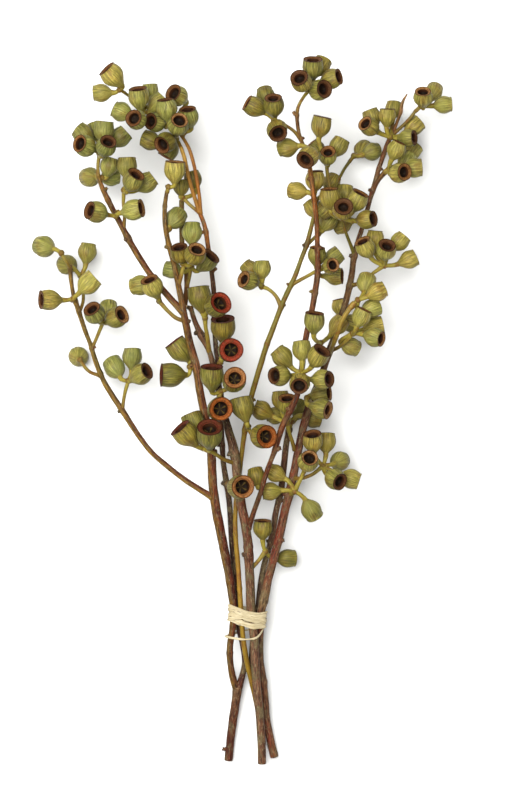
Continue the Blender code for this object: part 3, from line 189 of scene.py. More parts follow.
# Every cluster: the branch that bears it, its stalk (x, y, height, width) from inside that branch
# to the junction, and its nuts (x, y, way the mouth faces in the view, tilt of the mouth towards
# the viewer, width, lift above the place that the tilt alone gives)
clusters = {
    "left_nuts_01": ("left_branch", [(125, 93, 41.3, 2.0), (119.5, 89.5, 45.5, 2.2)], [
        (113, 76, 133, 20, 16.0, 0), (102, 93, 180, -10, 13.0, 0)]),
    "left_nuts_02": ("left_branch", [(145, 106.3, 35.2, 2.2), (142.5, 108, 46.5, 2.6)], [
        (139, 98, 97, 18, 15.2, 4), (150, 92, 90, 0, 12.0, -10), (122, 112, 157, -5, 14.0, -1),
        (137.5, 120, 160, 65, 14.0, 6), (157, 103.5, 45, -5, 14.0, 0)]),
    "left_nuts_03": ("left_branch", [(169, 124.5, 40, 2.2), (166.5, 126, 48, 2.6)], [
        (157, 122.3, 175, 45, 14.2, -5), (167, 109, 100, 15, 15.0, 5), (178.5, 96.5, 150, 48, 14.4, -12)]),
    "left_nuts_04": ("left_branch", [(182.5, 137.5, 49, 2.2), (184.5, 132, 49.5, 2.6)], [
        (189, 117, 100, 30, 14.0, -2), (178, 125, 65, 60, 15.0, 4.5)]),
    "left_nuts_05": ("left_branch", [(182, 150, 53.3, 2.4), (179, 143, 49, 2.4), (176, 138, 46, 2.8)], [
        (167, 141.5, 220, 45, 14.6, 3), (151, 141, 155, -10, 14.0, 5), (169.5, 149, 243, 0, 14.0, -5)]),
    "left_nuts_06": ("left_branch", [(167, 193, 61, 2.6), (168.5, 187, 62, 2.8)], [
        (175, 171, 88, 12, 14.8, 0)]),
    "left_nuts_07": ("left_branch", [(199, 212.5, 47.3, 2.4), (190, 205, 46.5, 2.4), (183, 198, 46, 3.0)], [
        (181, 187, 90, 0, 11.5, 0), (193, 180, 105, -10, 12.5, -4)]),
    "left_nuts_08": ("left_branch", [(167, 233, 60, 2.2), (169, 229, 57, 2.4)], [
        (175, 219, 55, -35, 14.6, 5)]),
    "left_nuts_09": ("left_branch", [(186.5, 288, 44.2, 2.6), (189.5, 276, 46, 2.6), (191, 266, 48, 2.8)], [
        (192, 233, 90, -10, 14.8, 3), (206, 262, 45, 25, 14.5, 0), (173, 270, 170, -15, 12.5, -1)]),
    "left_nuts_10": ("left_branch", [(178.5, 285, 56.8, 2.8), (182, 273, 60, 2.8), (184, 264, 61, 2.8)], [
        (180.5, 254, 100, 35, 13.5, 0), (195, 255, 65, 50, 15.0, 0)]),
    "low_left_nuts_01": ("left_branch", [(69.7, 268, 31.8, 2.2), (66.5, 262, 37, 2.4), (61, 253, 38, 3.0)], [
        (45, 247, 165, -45, 15.4, 0)]),
    "low_left_nuts_02": ("left_branch", [(74, 298, 30.5, 2.6), (73, 299, 34.5, 3.2)], [
        (88, 284, 45, -3, 15.0, 4), (50, 300, 180, 22, 15.2, 0)]),
    "low_left_nuts_03": ("left_branch", [
        (79, 313, 29.8, 2.4), (83, 300, 23, 2.4), (82, 286, 20, 2.4), (80, 276, 20, 2.8)], [
        (67, 265, 150, -60, 14.5, 9), (87, 253, 82, -5, 14.0, 0)]),
    "low_left_nuts_04": ("left_branch", [(91.5, 349, 28.2, 2.6), (95.5, 340, 30, 2.4), (103, 322, 33, 3.0)], [
        (95, 314, 120, 50, 14.8, 0), (115, 318, 25, 35, 15.2, 0), (108, 311, 90, -40, 13.5, 0)]),
    "low_left_nuts_05": ("left_branch", [(100, 376, 27.2, 2.6), (88, 371, 21, 2.4), (79.5, 360, 17.2, 2.4)], [
        (78, 357, 100, -75, 14.4, 4)]),
    "low_left_nuts_06": ("left_branch", [
        (122, 411, 27.6, 2.6), (124.5, 394, 30.5, 2.4), (128, 381, 32, 3.2)], [
        (115, 368.5, 120, -35, 15.0, 0), (132, 358, 88, -3, 14.4, 0), (140, 375, 30, 30, 15.0, 0)]),
    "left_nuts_11": ("left_branch", [(98.5, 177, 53.8, 2.6), (98, 165, 55, 2.4), (99.5, 154, 56, 3.0)], [
        (84, 135, 135, -5, 14.5, 0), (86, 146, 160, 50, 15.4, 0), (95, 132, 110, -20, 13.0, -8),
        (104, 131, 87, 3, 14.5, 0), (119, 138, 40, -5, 14.5, 0), (106, 147, 60, 50, 14.5, 0)]),
    "left_nuts_12": ("left_branch", [(100, 181.5, 53.3, 2.4), (101.5, 178, 51, 2.8)], [
        (109, 166, 75, 5, 13.5, 0), (110, 177, 10, -25, 13.0, -4), (90.5, 177, 180, -60, 13.8, 0)]),
    "left_nuts_13": ("left_branch", [
        (123.5, 229, 49.8, 2.6), (124.5, 219, 51.5, 2.4), (123.5, 205, 53.5, 2.4), (124, 190, 57, 3.0)], [
        (127, 167, 90, -5, 14.2, 0), (133, 181, 60, 35, 14.8, 0), (146, 183, 35, -5, 14.6, 0)]),
    "left_nuts_14": ("left_branch", [(116.5, 217, 50.5, 2.8), (116, 216, 55, 3.6)], [
        (97, 212, 168, 40, 15.2, 0), (133, 210, 12, 20, 15.0, 2)]),
    "left_nuts_15": ("left_branch", [
        (185.5, 321, 51.6, 3.0), (177, 318.5, 50, 2.8), (168, 311, 50, 2.8), (159, 301, 50, 3.2)], [
        (141, 285, 190, -20, 14.6, 0), (153, 287, 115, 30, 15.2, 0)]),
    "left_nuts_16": ("left_branch", [(195, 366, 46.3, 3.0), (190, 367, 47, 4.0)], [
        (180, 350, 128, 8, 16.5, -9), (172, 375, 180, 12, 17.0, 0)]),
    "orange_nuts_01": ("left_branch", [(226.5, 484, 25, 3.4), (229.5, 483.5, 33, 3.6), (231, 484, 41, 3.8)], [
        (239.5, 487, 10, 70, 17.5, 1)]),
    "orange_nuts_02": ("left_branch", [(218, 368, 33.4, 2.6), (220, 363, 42, 3.4)], [
        (223, 329, 92, 25, 17.5, 2), (230.5, 350, 0, 85, 17.5, 3)]),
    "centre_nuts_01": ("centre_branch", [
        (209, 352, 40, 3.2), (207.5, 338, 44.5, 3.0), (205.5, 326, 48, 3.0), (205, 318, 50, 3.8)], [
        (200, 298, 100, -5, 17.0, 2), (216, 306, 30, 55, 17.0, 0)]),
    "centre_nuts_02": ("centre_branch", [(219.5, 393, 41, 3.2), (221, 391, 50, 4.2)], [
        (212, 377, 90, 20, 17.0, 4), (234, 381, 70, 70, 16.8, 0), (219.5, 409, 10, 80, 17.2, 0)]),
    "centre_nuts_03": ("centre_branch", [
        (234, 463, 39, 3.0), (224, 459.5, 45, 2.8), (213, 452.5, 51.5, 2.8), (203, 448, 54, 3.6)], [
        (210, 436, 90, 38, 18.0, 0), (187, 435, 132, 15, 16.5, 0), (194, 424, 110, -10, 15.5, -5)]),
    "yellow_nuts_01": ("yellow_branch", [(245, 430, 39.8, 3.0), (248, 427, 44.5, 3.8)], [
        (243, 408, 105, -5, 16.5, 11), (261.5, 436, 355, 60, 17.0, 0)]),
    "yellow_nuts_02": ("yellow_branch", [
        (281, 306, 48.5, 3.0), (275, 295, 49, 2.6), (268, 289, 49, 2.6), (261.5, 286.5, 49, 3.0)], [
        (262, 269, 90, 2, 12.8, 0.4), (250, 281, 165, 40, 13.4, 0.5), (250.5, 269.5, 138, -18, 12.0, -6)]),
    "yellow_nuts_03": ("yellow_branch", [
        (291, 285, 48.5, 2.8), (300, 280, 48, 2.6), (311, 274, 47, 2.6), (318, 270, 46.5, 2.8)], [
        (317, 256, 88, 15, 13.4, -3), (333, 258, 40, -5, 13.0, 0), (330.5, 266, 20, 70, 12.0, 0),
        (334, 276, 0, 15, 13.0, -6)]),
    "yellow_nuts_04": ("yellow_branch", [
        (306.5, 245.5, 48.3, 2.4), (312, 240, 45, 2.4), (318, 234, 40, 2.4)], [
        (328, 222, 55, -10, 13.0, -2), (313, 208.5, 120, -10, 12.5, -4)]),
    "yellow_nuts_05": ("yellow_branch", [(315.2, 211, 50.4, 2.4), (315, 200, 52, 3.0)], [
        (298, 191, 170, -30, 13.0, 0), (315, 180, 88, 12, 14.0, -2), (331, 183, 60, -20, 12.5, -10)]),
    "front_nuts_01": ("centre_branch", [
        (297, 115, 61.1, 2.4), (298, 108, 61, 2.3), (303, 98, 61, 2.3), (311, 88, 60, 2.8)], [
        (313, 68, 90, 28, 14.8, 0), (320, 67, 60, -20, 13.6, 0), (302, 82, 125, 60, 14.6, 0),
        (331, 79, 15, 25, 14.4, 0), (319, 90, 5, 55, 15.0, 0)]),
    "front_nuts_02": ("centre_branch", [
        (300, 138, 62, 2.6), (295, 132, 60, 2.3), (285, 125, 58, 2.3), (274, 120, 58, 2.8)], [
        (255, 107, 152, 12, 14.6, 0), (266, 97, 100, -30, 13.6, 0), (274, 106, 95, 33, 14.6, 0),
        (277, 129, 285, 55, 14.6, 0)]),
    "front_nuts_03": ("centre_branch", [(305.5, 151, 62, 2.6), (309.5, 149, 67, 3.2)], [
        (309, 156, 230, 50, 14.4, 0), (288, 147.5, 187, -20, 13.6, -1)]),
    "front_nuts_04": ("centre_branch", [(301.5, 374, 62, 3.2), (302, 372, 69, 4.4)], [
        (302, 350, 92, -5, 13.5, 6), (283, 357, 130, -5, 14.6, 0), (281, 375.5, 180, 42, 14.6, 0),
        (300, 383, 260, 70, 14.4, 0), (322, 379, 0, 35, 14.4, 0), (318, 357, 57, 30, 14.6, 2)]),
    "front_nuts_05": ("centre_branch", [
        (303.5, 357, 63, 2.6), (312, 349, 60, 2.5), (320.5, 343, 60, 3.2)], [
        (314.5, 322, 88, 15, 14.6, 10), (337.5, 326, 52, -15, 13.6, -12)]),
    "front_nuts_06": ("centre_branch", [(261.3, 490.5, 44.1, 2.6), (259, 487.5, 39.5, 2.8)], [
        (256.2, 477, 100, -20, 12.6, 0)]),
    "right_nuts_01": ("right_branch", [
        (294.5, 450, 32, 3.0), (291.5, 440, 38, 2.8), (288.5, 430, 42, 2.8), (287, 423, 44, 3.4)], [
        (262, 411, 152, -5, 14.0, 0), (276, 416, 170, -15, 12.5, -5), (281, 400, 97, -5, 13.5, 0),
        (287, 405, 90, 35, 13.5, -6)]),
    "right_nuts_02": ("right_branch", [(310.5, 402, 33, 2.8), (307, 398, 50, 3.2)], [
        (321, 394, 10, 20, 14.0, 0), (320.5, 408, 345, 30, 14.4, 0)]),
    "right_nuts_03": ("right_branch", [(352.5, 305.5, 57.2, 2.6), (358, 300, 57.8, 3.0)], [
        (366, 284, 75, -40, 13.6, 0), (377, 292, 25, -8, 13.6, 0), (371, 309, 20, -15, 13.6, -6)]),
    "right_nuts_04": ("right_branch", [
        (330, 351, 33, 2.8), (339, 347, 40, 2.6), (346, 341, 46, 2.6), (353, 333.5, 50, 3.2)], [
        (361, 317, 67, 12, 13.0, 4), (374, 327, 15, -5, 14.0, -2), (374, 337, 345, 30, 14.0, 3),
        (350, 346, 340, -30, 13.0, -6)]),
    "right_nuts_05": ("right_branch", [(340, 320, 33, 2.6), (341, 319, 27.5, 2.8)], [
        (340, 307, 100, 8, 12.5, -7), (350, 323, 340, -10, 13.0, -6)]),
    "right_nuts_06": ("right_branch", [
        (350, 286, 32.4, 3.0), (360, 283, 33, 2.6), (374, 272.5, 36, 2.6), (384, 265.5, 38, 3.4)], [
        (366, 248, 120, 25, 14.0, 0), (375, 239, 88, 3, 13.0, 0), (386, 251, 80, 50, 14.0, 0),
        (399, 242, 47, -3, 13.0, 0), (408, 260, 22, -5, 13.0, 0)]),
    "right_nuts_07": ("right_branch", [(341, 217.5, 44.8, 2.4), (342, 218, 49.5, 3.2)], [
        (330, 198, 95, 18, 14.8, 4.5), (345, 195, 90, -15, 13.5, -6), (357, 201, 65, 20, 14.6, 0),
        (343, 210, 80, 70, 14.6, 3), (326, 208, 225, -10, 13.5, -1), (343, 225, 200, -30, 12.5, -13),
        (366, 219.5, 5, 30, 13.5, 0)]),
    "right_nuts_08": ("right_branch", [
        (331, 191.5, 44, 2.4), (328, 179, 45, 2.4), (326.5, 163, 46, 3.0)], [
        (321, 126, 80, 10, 14.4, 0), (316, 150, 130, 10, 13.5, -11), (328, 157, 90, 50, 12.6, 0),
        (338, 147, 62, -5, 13.5, 0)]),
    "right_nuts_09": ("right_branch", [(349, 162, 23.4, 2.2), (353.5, 156, 18, 2.8)], [
        (362, 150, 60, -50, 12.6, 1.5), (371, 152, 20, -30, 13.0, 0)]),
    "right_nuts_10": ("right_branch", [(390, 138, 30, 2.8), (390, 137, 34.5, 3.6)], [
        (370, 127, 150, 42, 13.4, 0), (372, 118, 110, -5, 13.0, 0), (387, 117, 88, 12, 12.6, 2),
        (393, 110, 85, -10, 12.0, -7), (407, 138, 0, 30, 12.8, -5), (413, 127, 38, -8, 13.0, 0)]),
    "right_nuts_11": ("right_branch", [(384, 173, 33.8, 3.4), (389, 169, 35.5, 3.6)], [
        (399, 173, 5, 55, 14.4, 0), (413, 168, 5, -5, 13.6, 0), (406, 161, 60, -20, 13.0, -5),
        (396, 150, 65, 15, 13.2, 3), (411, 152, 50, -15, 12.5, -9)]),
    "right_nuts_12": ("right_branch", [(415, 111.5, 33.8, 2.4), (421, 106, 34.5, 2.8)], [
        (423, 98, 95, 45, 13.6, 0), (433, 93, 70, -40, 12.6, 0), (443, 105, 5, -3, 12.6, 0)]),
    "low_right_nuts_01": ("right_branch", [
        (292.5, 478, 30.7, 3.2), (300, 478.5, 35.5, 2.8), (311, 475, 36, 2.6), (323, 466, 35, 3.4)], [
        (313, 442, 95, 25, 14.4, 0), (326, 442, 88, -10, 13.8, 0), (339, 461.5, 20, -60, 14.0, 0),
        (334.5, 478.7, 330, 50, 15.0, 0), (350.5, 478.7, 340, 0, 14.0, 0)]),
    "low_right_nuts_02": ("right_branch", [(289, 495, 30, 3.2), (294.5, 491.5, 37, 3.8)], [
        (308, 462, 70, 60, 15.0, 0), (310.3, 509.3, 300, -25, 14.6, 0), (275.9, 473.6, 150, -10, 13.0, 0),
        (270.8, 491.4, 185, 0, 13.0, -4)]),
    "dark_stem_nuts": ("short_dark_stem", [(289, 429, 23.8, 3.0), (291, 422, 26, 3.2)], [
        (300, 410, 60, -10, 13.5, -2), (312, 418, 350, -10, 14.0, -2)]),
    "tie_nuts": ("centre_branch", [(249.5, 570, 27.3, 3.0), (258, 561, 25, 2.8), (265, 551.5, 23.5, 3.6)], [
        (262.5, 529, 90, 12, 13.6, 2), (286, 558.4, 0, -15, 13.4, -4)]),
}


def place(x, y, height):
    spread = layout["mmPerPixel"] * (layout["viewDistance"] - height)
    spread /= layout["viewDistance"] - layout["middleHeight"]
    return Vector(((x - layout["centreX"]) * spread, (layout["centreY"] - y) * spread, height)) * mm


def facing(way, tilt):
    flat = math.cos(math.radians(tilt))
    return Vector((
        flat * math.cos(math.radians(way)),
        flat * math.sin(math.radians(way)),
        math.sin(math.radians(tilt)),
    ))


# One gumnut: its place, its width and the junction that its pedicel starts from
class Nut:
    def __init__(self, junction, row):
        self.x, self.y, way, tilt, width, lift = row
        self.junction = place(*junction[:3])
        self.width = width * mm
        self.axis = facing(way, tilt)
        self.height = junction[2] + layout["umbelDepth"] * math.sin(math.radians(tilt)) + lift
        level = math.hypot(self.axis.x, self.axis.y)
        lowest = max(radius * level - along * self.axis.z for along, radius in layout["nutOutline"])
        self.reachDown = lowest * width

    def alongAxis(self, share):
        return place(self.x, self.y, self.height) + self.axis * share * self.width

    def balls(self):
        found = [(*self.alongAxis(at) / mm, radius * self.width / mm) for at, radius in layout["nutBalls"]]
        for share in (0.4, 0.75):
            found.append((*self.pedicel(share), layout["pedicelWidth"] / 2))
        return found

    def pedicel(self, share):
        neck = self.alongAxis(layout["nutOutline"][0][0])
        reach = min(layout["bendShare"] * (neck - self.junction).length, layout["bendMost"] * self.width)
        bend = neck - self.axis * reach
        first = self.junction.lerp(bend, share)
        return first.lerp(bend.lerp(neck, share), share) / mm


def spine(route):
    return [place(x, y, height) for x, y, height, _ in route], [width / 2 * mm for *_, width in route]


def routeBalls(route):
    centres, radii = spine(route)
    found = []
    for start, end, first, last in zip(centres, centres[1:], radii, radii[1:]):
        count = max(1, round((end - start).length / (2 * min(first, last))))
        for step in range(count):
            share = step / count
            found.append((*start.lerp(end, share) / mm, (first + (last - first) * share) / mm))
    return found


# Raises and lowers the nuts until none touches another, a twig or the floor, as the solids have it
def easeApart(clusterNuts):
    nuts = [nut for group in clusterNuts.values() for nut in group]
    owner = np.array([i for i, group in enumerate(clusterNuts.values()) for _ in group])
    fixed = [ball for branch in branches.values() for route in branch.values() for ball in routeBalls(route)]
    fixedOwner = [-1] * len(fixed)
    for i, (_, stalk, _) in enumerate(clusters.values()):
        balls = routeBalls(stalk)
        fixed += balls
        fixedOwner += [i] * len(balls)
    fixed = np.array(fixed)
    fixedOwner = np.array(fixedOwner)
    bodyBalls = len(layout["nutBalls"])
    for _ in range(layout["easeRounds"]):
        mine = np.array([nut.balls() for nut in nuts])
        for i, nut in enumerate(nuts):
            notMe = np.arange(len(nuts)) != i
            others = mine[notMe].reshape(-1, 4)
            kin = np.repeat((owner == owner[i])[notMe], mine.shape[1])
            same = np.tile(np.arange(mine.shape[1]) >= bodyBalls, len(nuts) - 1) & kin
            push = 0.0
            for k, (x, y, z, radius) in enumerate(mine[i]):
                near = others[~kin] if k >= bodyBalls else others[~same]
                for rows, part in ((near, 0.5), (fixed[fixedOwner != owner[i]], 1.0)):
                    apart = radius + rows[:, 3] + layout["easeGap"]
                    flat = (rows[:, 0] - x) ** 2 + (rows[:, 1] - y) ** 2
                    short = np.sqrt(np.maximum(apart**2 - flat, 0)) - np.abs(z - rows[:, 2])
                    found = np.where(short > 0, short * np.where(z >= rows[:, 2], 1, -1), 0)
                    if len(found):
                        push += part * (found.max(initial=0) + found.min(initial=0))
            nut.height = max(nut.height + layout["easeShare"] * push, nut.reachDown)


nutsOf = {name: [Nut(stalk[-1], row) for row in rows] for name, (_, stalk, rows) in clusters.items()}
easeApart(nutsOf)
print("nuts placed:", sum(len(group) for group in nutsOf.values()))


# sRGB hex to the linear numbers that shaders use
def linear(hexColour):
    found = []
    for i in (0, 2, 4):
        level = int(hexColour[i:i + 2], 16) / 255
        found.append(level / 12.92 if level <= 0.04045 else ((level + 0.055) / 1.055) ** 2.4)
    return found


# Adds a node: inputs holds socket values or the sockets to link from, the rest are its settings
def addNode(tree, kind, inputs, **settings):
    node = tree.nodes.new(kind)
    for key, value in settings.items():
        setattr(node, key, value)
    for key, value in inputs.items():
        if isinstance(value, bpy.types.NodeSocket):
            tree.links.new(value, node.inputs[key])
        else:
            node.inputs[key].default_value = value
    return node


# A material with its shader, and what each vertex was given for it to read
def startMaterial(name):
    material = bpy.data.materials.new(name)
    material.use_nodes = True
    tree = material.node_tree
    shader = tree.nodes["Principled BSDF"]
    read = {}
    for field in pieceFields:
        read[field] = addNode(tree, "ShaderNodeAttribute", {}, attribute_name=field)
    return material, tree, shader, read


# Stretched or even noise over the place that each vertex was given in millimetres
def grainOf(tree, read, stretch, scale, detail=3.0, roughness=0.55, distortion=0.0):
    mapped = addNode(tree, "ShaderNodeMapping", {"Vector": read["place"].outputs["Vector"], "Scale": stretch})
    return addNode(tree, "ShaderNodeTexNoise", {
        "Vector": mapped.outputs[0], "Scale": scale, "Detail": detail, "Roughness": roughness,
        "Distortion": distortion,
    }).outputs["Fac"]


def rangeOf(tree, value, low, high, toLow=0.0, toHigh=1.0):
    return addNode(tree, "ShaderNodeMapRange", {
        "Value": value, "From Min": low, "From Max": high, "To Min": toLow, "To Max": toHigh,
    }).outputs[0]


def mixed(tree, share, first, second, how="MIX"):
    node = addNode(tree, "ShaderNodeMix", {0: share}, data_type="RGBA", blend_type=how)
    for socket, value in ((6, first), (7, second)):
        if isinstance(value, bpy.types.NodeSocket):
            tree.links.new(value, node.inputs[socket])
        else:
            node.inputs[socket].default_value = (*linear(value), 1)
    return node.outputs[2]


def times(tree, first, second, how="MULTIPLY"):
    return addNode(tree, "ShaderNodeMath", {0: first, 1: second}, operation=how).outputs[0]


pieceFields = {"place": 3, "tint": 3, "mouthTint": 3, "ribs": 1, "star": 1, "run": 1, "wear": 1}


# Gathers the surfaces of one piece, in millimetres, with what the materials read at each point
class Piece:
    def __init__(self, name):
        self.name = name
        self.points = []
        self.faces = []
        self.slots = []
        self.values = {field: [] for field in pieceFields}
        self.count = 0

    # rings is (levels, sides, 3); slots has one number for each gap between levels
    def addSurface(self, rings, slots, capStart=True, capEnd=True, capSlot=None, **given):
        levels, sides = rings.shape[:2]
        if isinstance(slots, int):
            slots = [slots] * (levels - 1)
        flat = [rings.reshape(-1, 3)]
        values = {}
        for field, size in pieceFields.items():
            value = np.zeros((levels, sides, size))
            if field in given:
                value += np.asarray(given[field], float).reshape(*np.shape(given[field])[:2], -1)
            values[field] = [value.reshape(-1, size)]
        start = self.count
        for level in range(levels - 1):
            for i in range(sides):
                a = start + level * sides + i
                b = start + level * sides + (i + 1) % sides
                self.faces.append((a, b, b + sides, a + sides))
                self.slots.append(slots[level])
        added = levels * sides
        for wanted, level, turned, slot in ((capStart, 0, True, slots[0]), (capEnd, levels - 1, False, slots[-1])):
            if not wanted:
                continue
            flat.append(rings[level].mean(axis=0)[None])
            for field, size in pieceFields.items():
                values[field].append(values[field][0].reshape(levels, sides, size)[level].mean(axis=0)[None])
            for i in range(sides):
                a = start + level * sides + i
                b = start + level * sides + (i + 1) % sides
                self.faces.append((b, a, start + added) if turned else (a, b, start + added))
                self.slots.append(slot if capSlot is None else capSlot)
            added += 1
        self.points.append(np.concatenate(flat))
        for field in pieceFields:
            self.values[field].append(np.concatenate(values[field]))
        self.count += added

    def build(self, materials, node):
        mesh = bpy.data.meshes.new(self.name)
        mesh.from_pydata((np.concatenate(self.points) * mm).tolist(), [], self.faces)
        for field, size in pieceFields.items():
            layer = mesh.attributes.new(field, "FLOAT" if size == 1 else "FLOAT_VECTOR", "POINT")
            data = np.concatenate(self.values[field]).astype(np.float32).ravel()
            layer.data.foreach_set("value" if size == 1 else "vector", data)
        for material in materials:
            mesh.materials.append(material)
        mesh.polygons.foreach_set("material_index", self.slots)
        mesh.polygons.foreach_set("use_smooth", [True] * len(self.faces))
        mesh.update()
        obj = bpy.data.objects.new(self.name, mesh)
        bpy.context.scene.collection.objects.link(obj)
        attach(obj, "root")
        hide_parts(node)
        return obj


# Points x, y, z and radius along a smooth line through a route, about every step millimetres,
# with how far along the line each one is and the level of the view that it was seen at
def smoothLine(route, step):
    rows = []
    for x, y, height, width in route:
        rows.append((*(place(x, y, height) / mm), width / 2, y))
    rows = np.array(rows)
    gaps = np.linalg.norm(np.diff(rows[:, :3], axis=0), axis=1)
    along = np.concatenate([[0], np.cumsum(gaps)])
    slope = np.gradient(rows, along, axis=0) if len(rows) > 2 else np.repeat(
        (rows[1:] - rows[:1]) / along[-1], 2, axis=0)
    found = []
    for i, gap in enumerate(gaps):
        count = max(2, round(gap / step))
        last = i == len(gaps) - 1
        t = np.linspace(0, 1, count + 1)[: None if last else -1, None]
        found.append(
            rows[i] * (2 * t**3 - 3 * t**2 + 1) + slope[i] * gap * (t**3 - 2 * t**2 + t)
            + rows[i + 1] * (3 * t**2 - 2 * t**3) + slope[i + 1] * gap * (t**3 - t**2)
        )
    line = np.concatenate(found)
    far = np.concatenate([[0], np.cumsum(np.linalg.norm(np.diff(line[:, :3], axis=0), axis=1))])
    return line, far


# Unit vectors square to a line at each of its points, turned as little as possible along it
def framesAlong(centres):
    directions = np.gradient(centres, axis=0)
    directions /= np.linalg.norm(directions, axis=1)[:, None]
    side = np.array((0.0, 0.0, 1.0))
    if abs(directions[0][2]) > 0.9:
        side = np.array((1.0, 0.0, 0.0))
    sides = []
    for direction in directions:
        side = side - direction * side.dot(direction)
        side /= np.linalg.norm(side)
        sides.append(side)
    sides = np.array(sides)
    return sides, np.cross(directions, sides)


def roughly(points, size, seed):
    return np.array([noise.noise(Vector(point) / size + Vector((seed, 0, -seed))) for point in points])


# Colours along a route, from rows of view level and hex
def tintAlong(rows, levels):
    rows = sorted(rows)
    colours = np.array([linear(colour) for _, colour in rows])
    at = [row[0] for row in rows]
    return np.stack([np.interp(levels, at, colours[:, k]) for k in range(3)], axis=1)


barkShape = {
    "step": 1.1,  # mm between the rings of a stem
    "sides": 20,
    "lumpSize": 7.0,  # mm
    "lumps": 0.07,  # share of the radius
    "furrowSize": 2.2,
    "furrows": 0.035,
    "collar": 0.30,  # how much wider a twig is where it leaves its stem
    "collarLength": 3.5,
    "barkDepth": (0.30, 0.215, 0.135),  # dry bark is deeper and warmer than its lit patches
    "twigDepth": (0.37, 0.35, 0.22),
    "stubDepth": (0.45, 0.40, 0.30),
}


# A woody or green stem along a route
def addStem(piece, route, look, seed, slot=0, flare=0.0, sides=None, endSlot=None):
    line, far = smoothLine(route, barkShape["step"])
    centres, radii, levels = line[:, :3], line[:, 3].copy(), line[:, 4]
    radii *= 1 + flare * np.exp(-far / barkShape["collarLength"])
    for level, width, more in look.get("rings", ()):
        radii *= 1 + more * np.exp(-(((levels - level) * layout["mmPerPixel"] / width) ** 2))
    sides = sides or barkShape["sides"]
    turns = np.arange(sides) * 2 * math.pi / sides
    across, up = framesAlong(centres)
    out = across[:, None] * np.cos(turns)[None, :, None] + up[:, None] * np.sin(turns)[None, :, None]
    spots = centres[:, None] + out * radii[:, None, None]
    flatSpots = spots.reshape(-1, 3)
    lumps = roughly(flatSpots, barkShape["lumpSize"], seed).reshape(len(centres), sides)
    grooveSpots = np.stack([
        np.broadcast_to(np.cos(turns) * 3 + seed, lumps.shape), np.broadcast_to(np.sin(turns) * 3, lumps.shape),
        np.broadcast_to(far[:, None] / 9, lumps.shape)], axis=2).reshape(-1, 3)
    furrows = roughly(grooveSpots, 1.0, seed + 3).reshape(lumps.shape)
    bulge = 1 + barkShape["lumps"] * lumps + barkShape["furrows"] * furrows
    rings = centres[:, None] + out * (radii[:, None] * bulge)[:, :, None]
    tint = np.repeat(tintAlong(look["stops"], levels)[:, None], sides, axis=1)
    # One side of the stem, the side facing the given way, is mixed towards another colour: partly the bark's own
    # colour there, partly painted light and shade, with the side towards the light painted paler and the side away
    # from it darker
    if "sideColourAndLight" in look:
        way, colour, most = look["sideColourAndLight"]
        toward = out @ np.array(facing(way, 10))
        share = most * np.clip(toward * 1.3 + 0.15 + lumps * 0.5, 0, 1) ** 1.2
        tint = tint * (1 - share[:, :, None]) + np.array(linear(colour)) * share[:, :, None]
    tint = tint * np.array(look.get("depth", (1.0, 1.0, 1.0)))
    pattern = np.stack([
        np.cos(turns)[None] * radii[:, None] + seed * 17.0, np.sin(turns)[None] * radii[:, None],
        np.repeat(far[:, None], sides, axis=1)], axis=2)
    wear = np.full((len(centres), sides, 1), look.get("wear", 0.3))
    piece.addSurface(rings, slot, capSlot=endSlot, place=pattern, tint=tint, wear=wear)
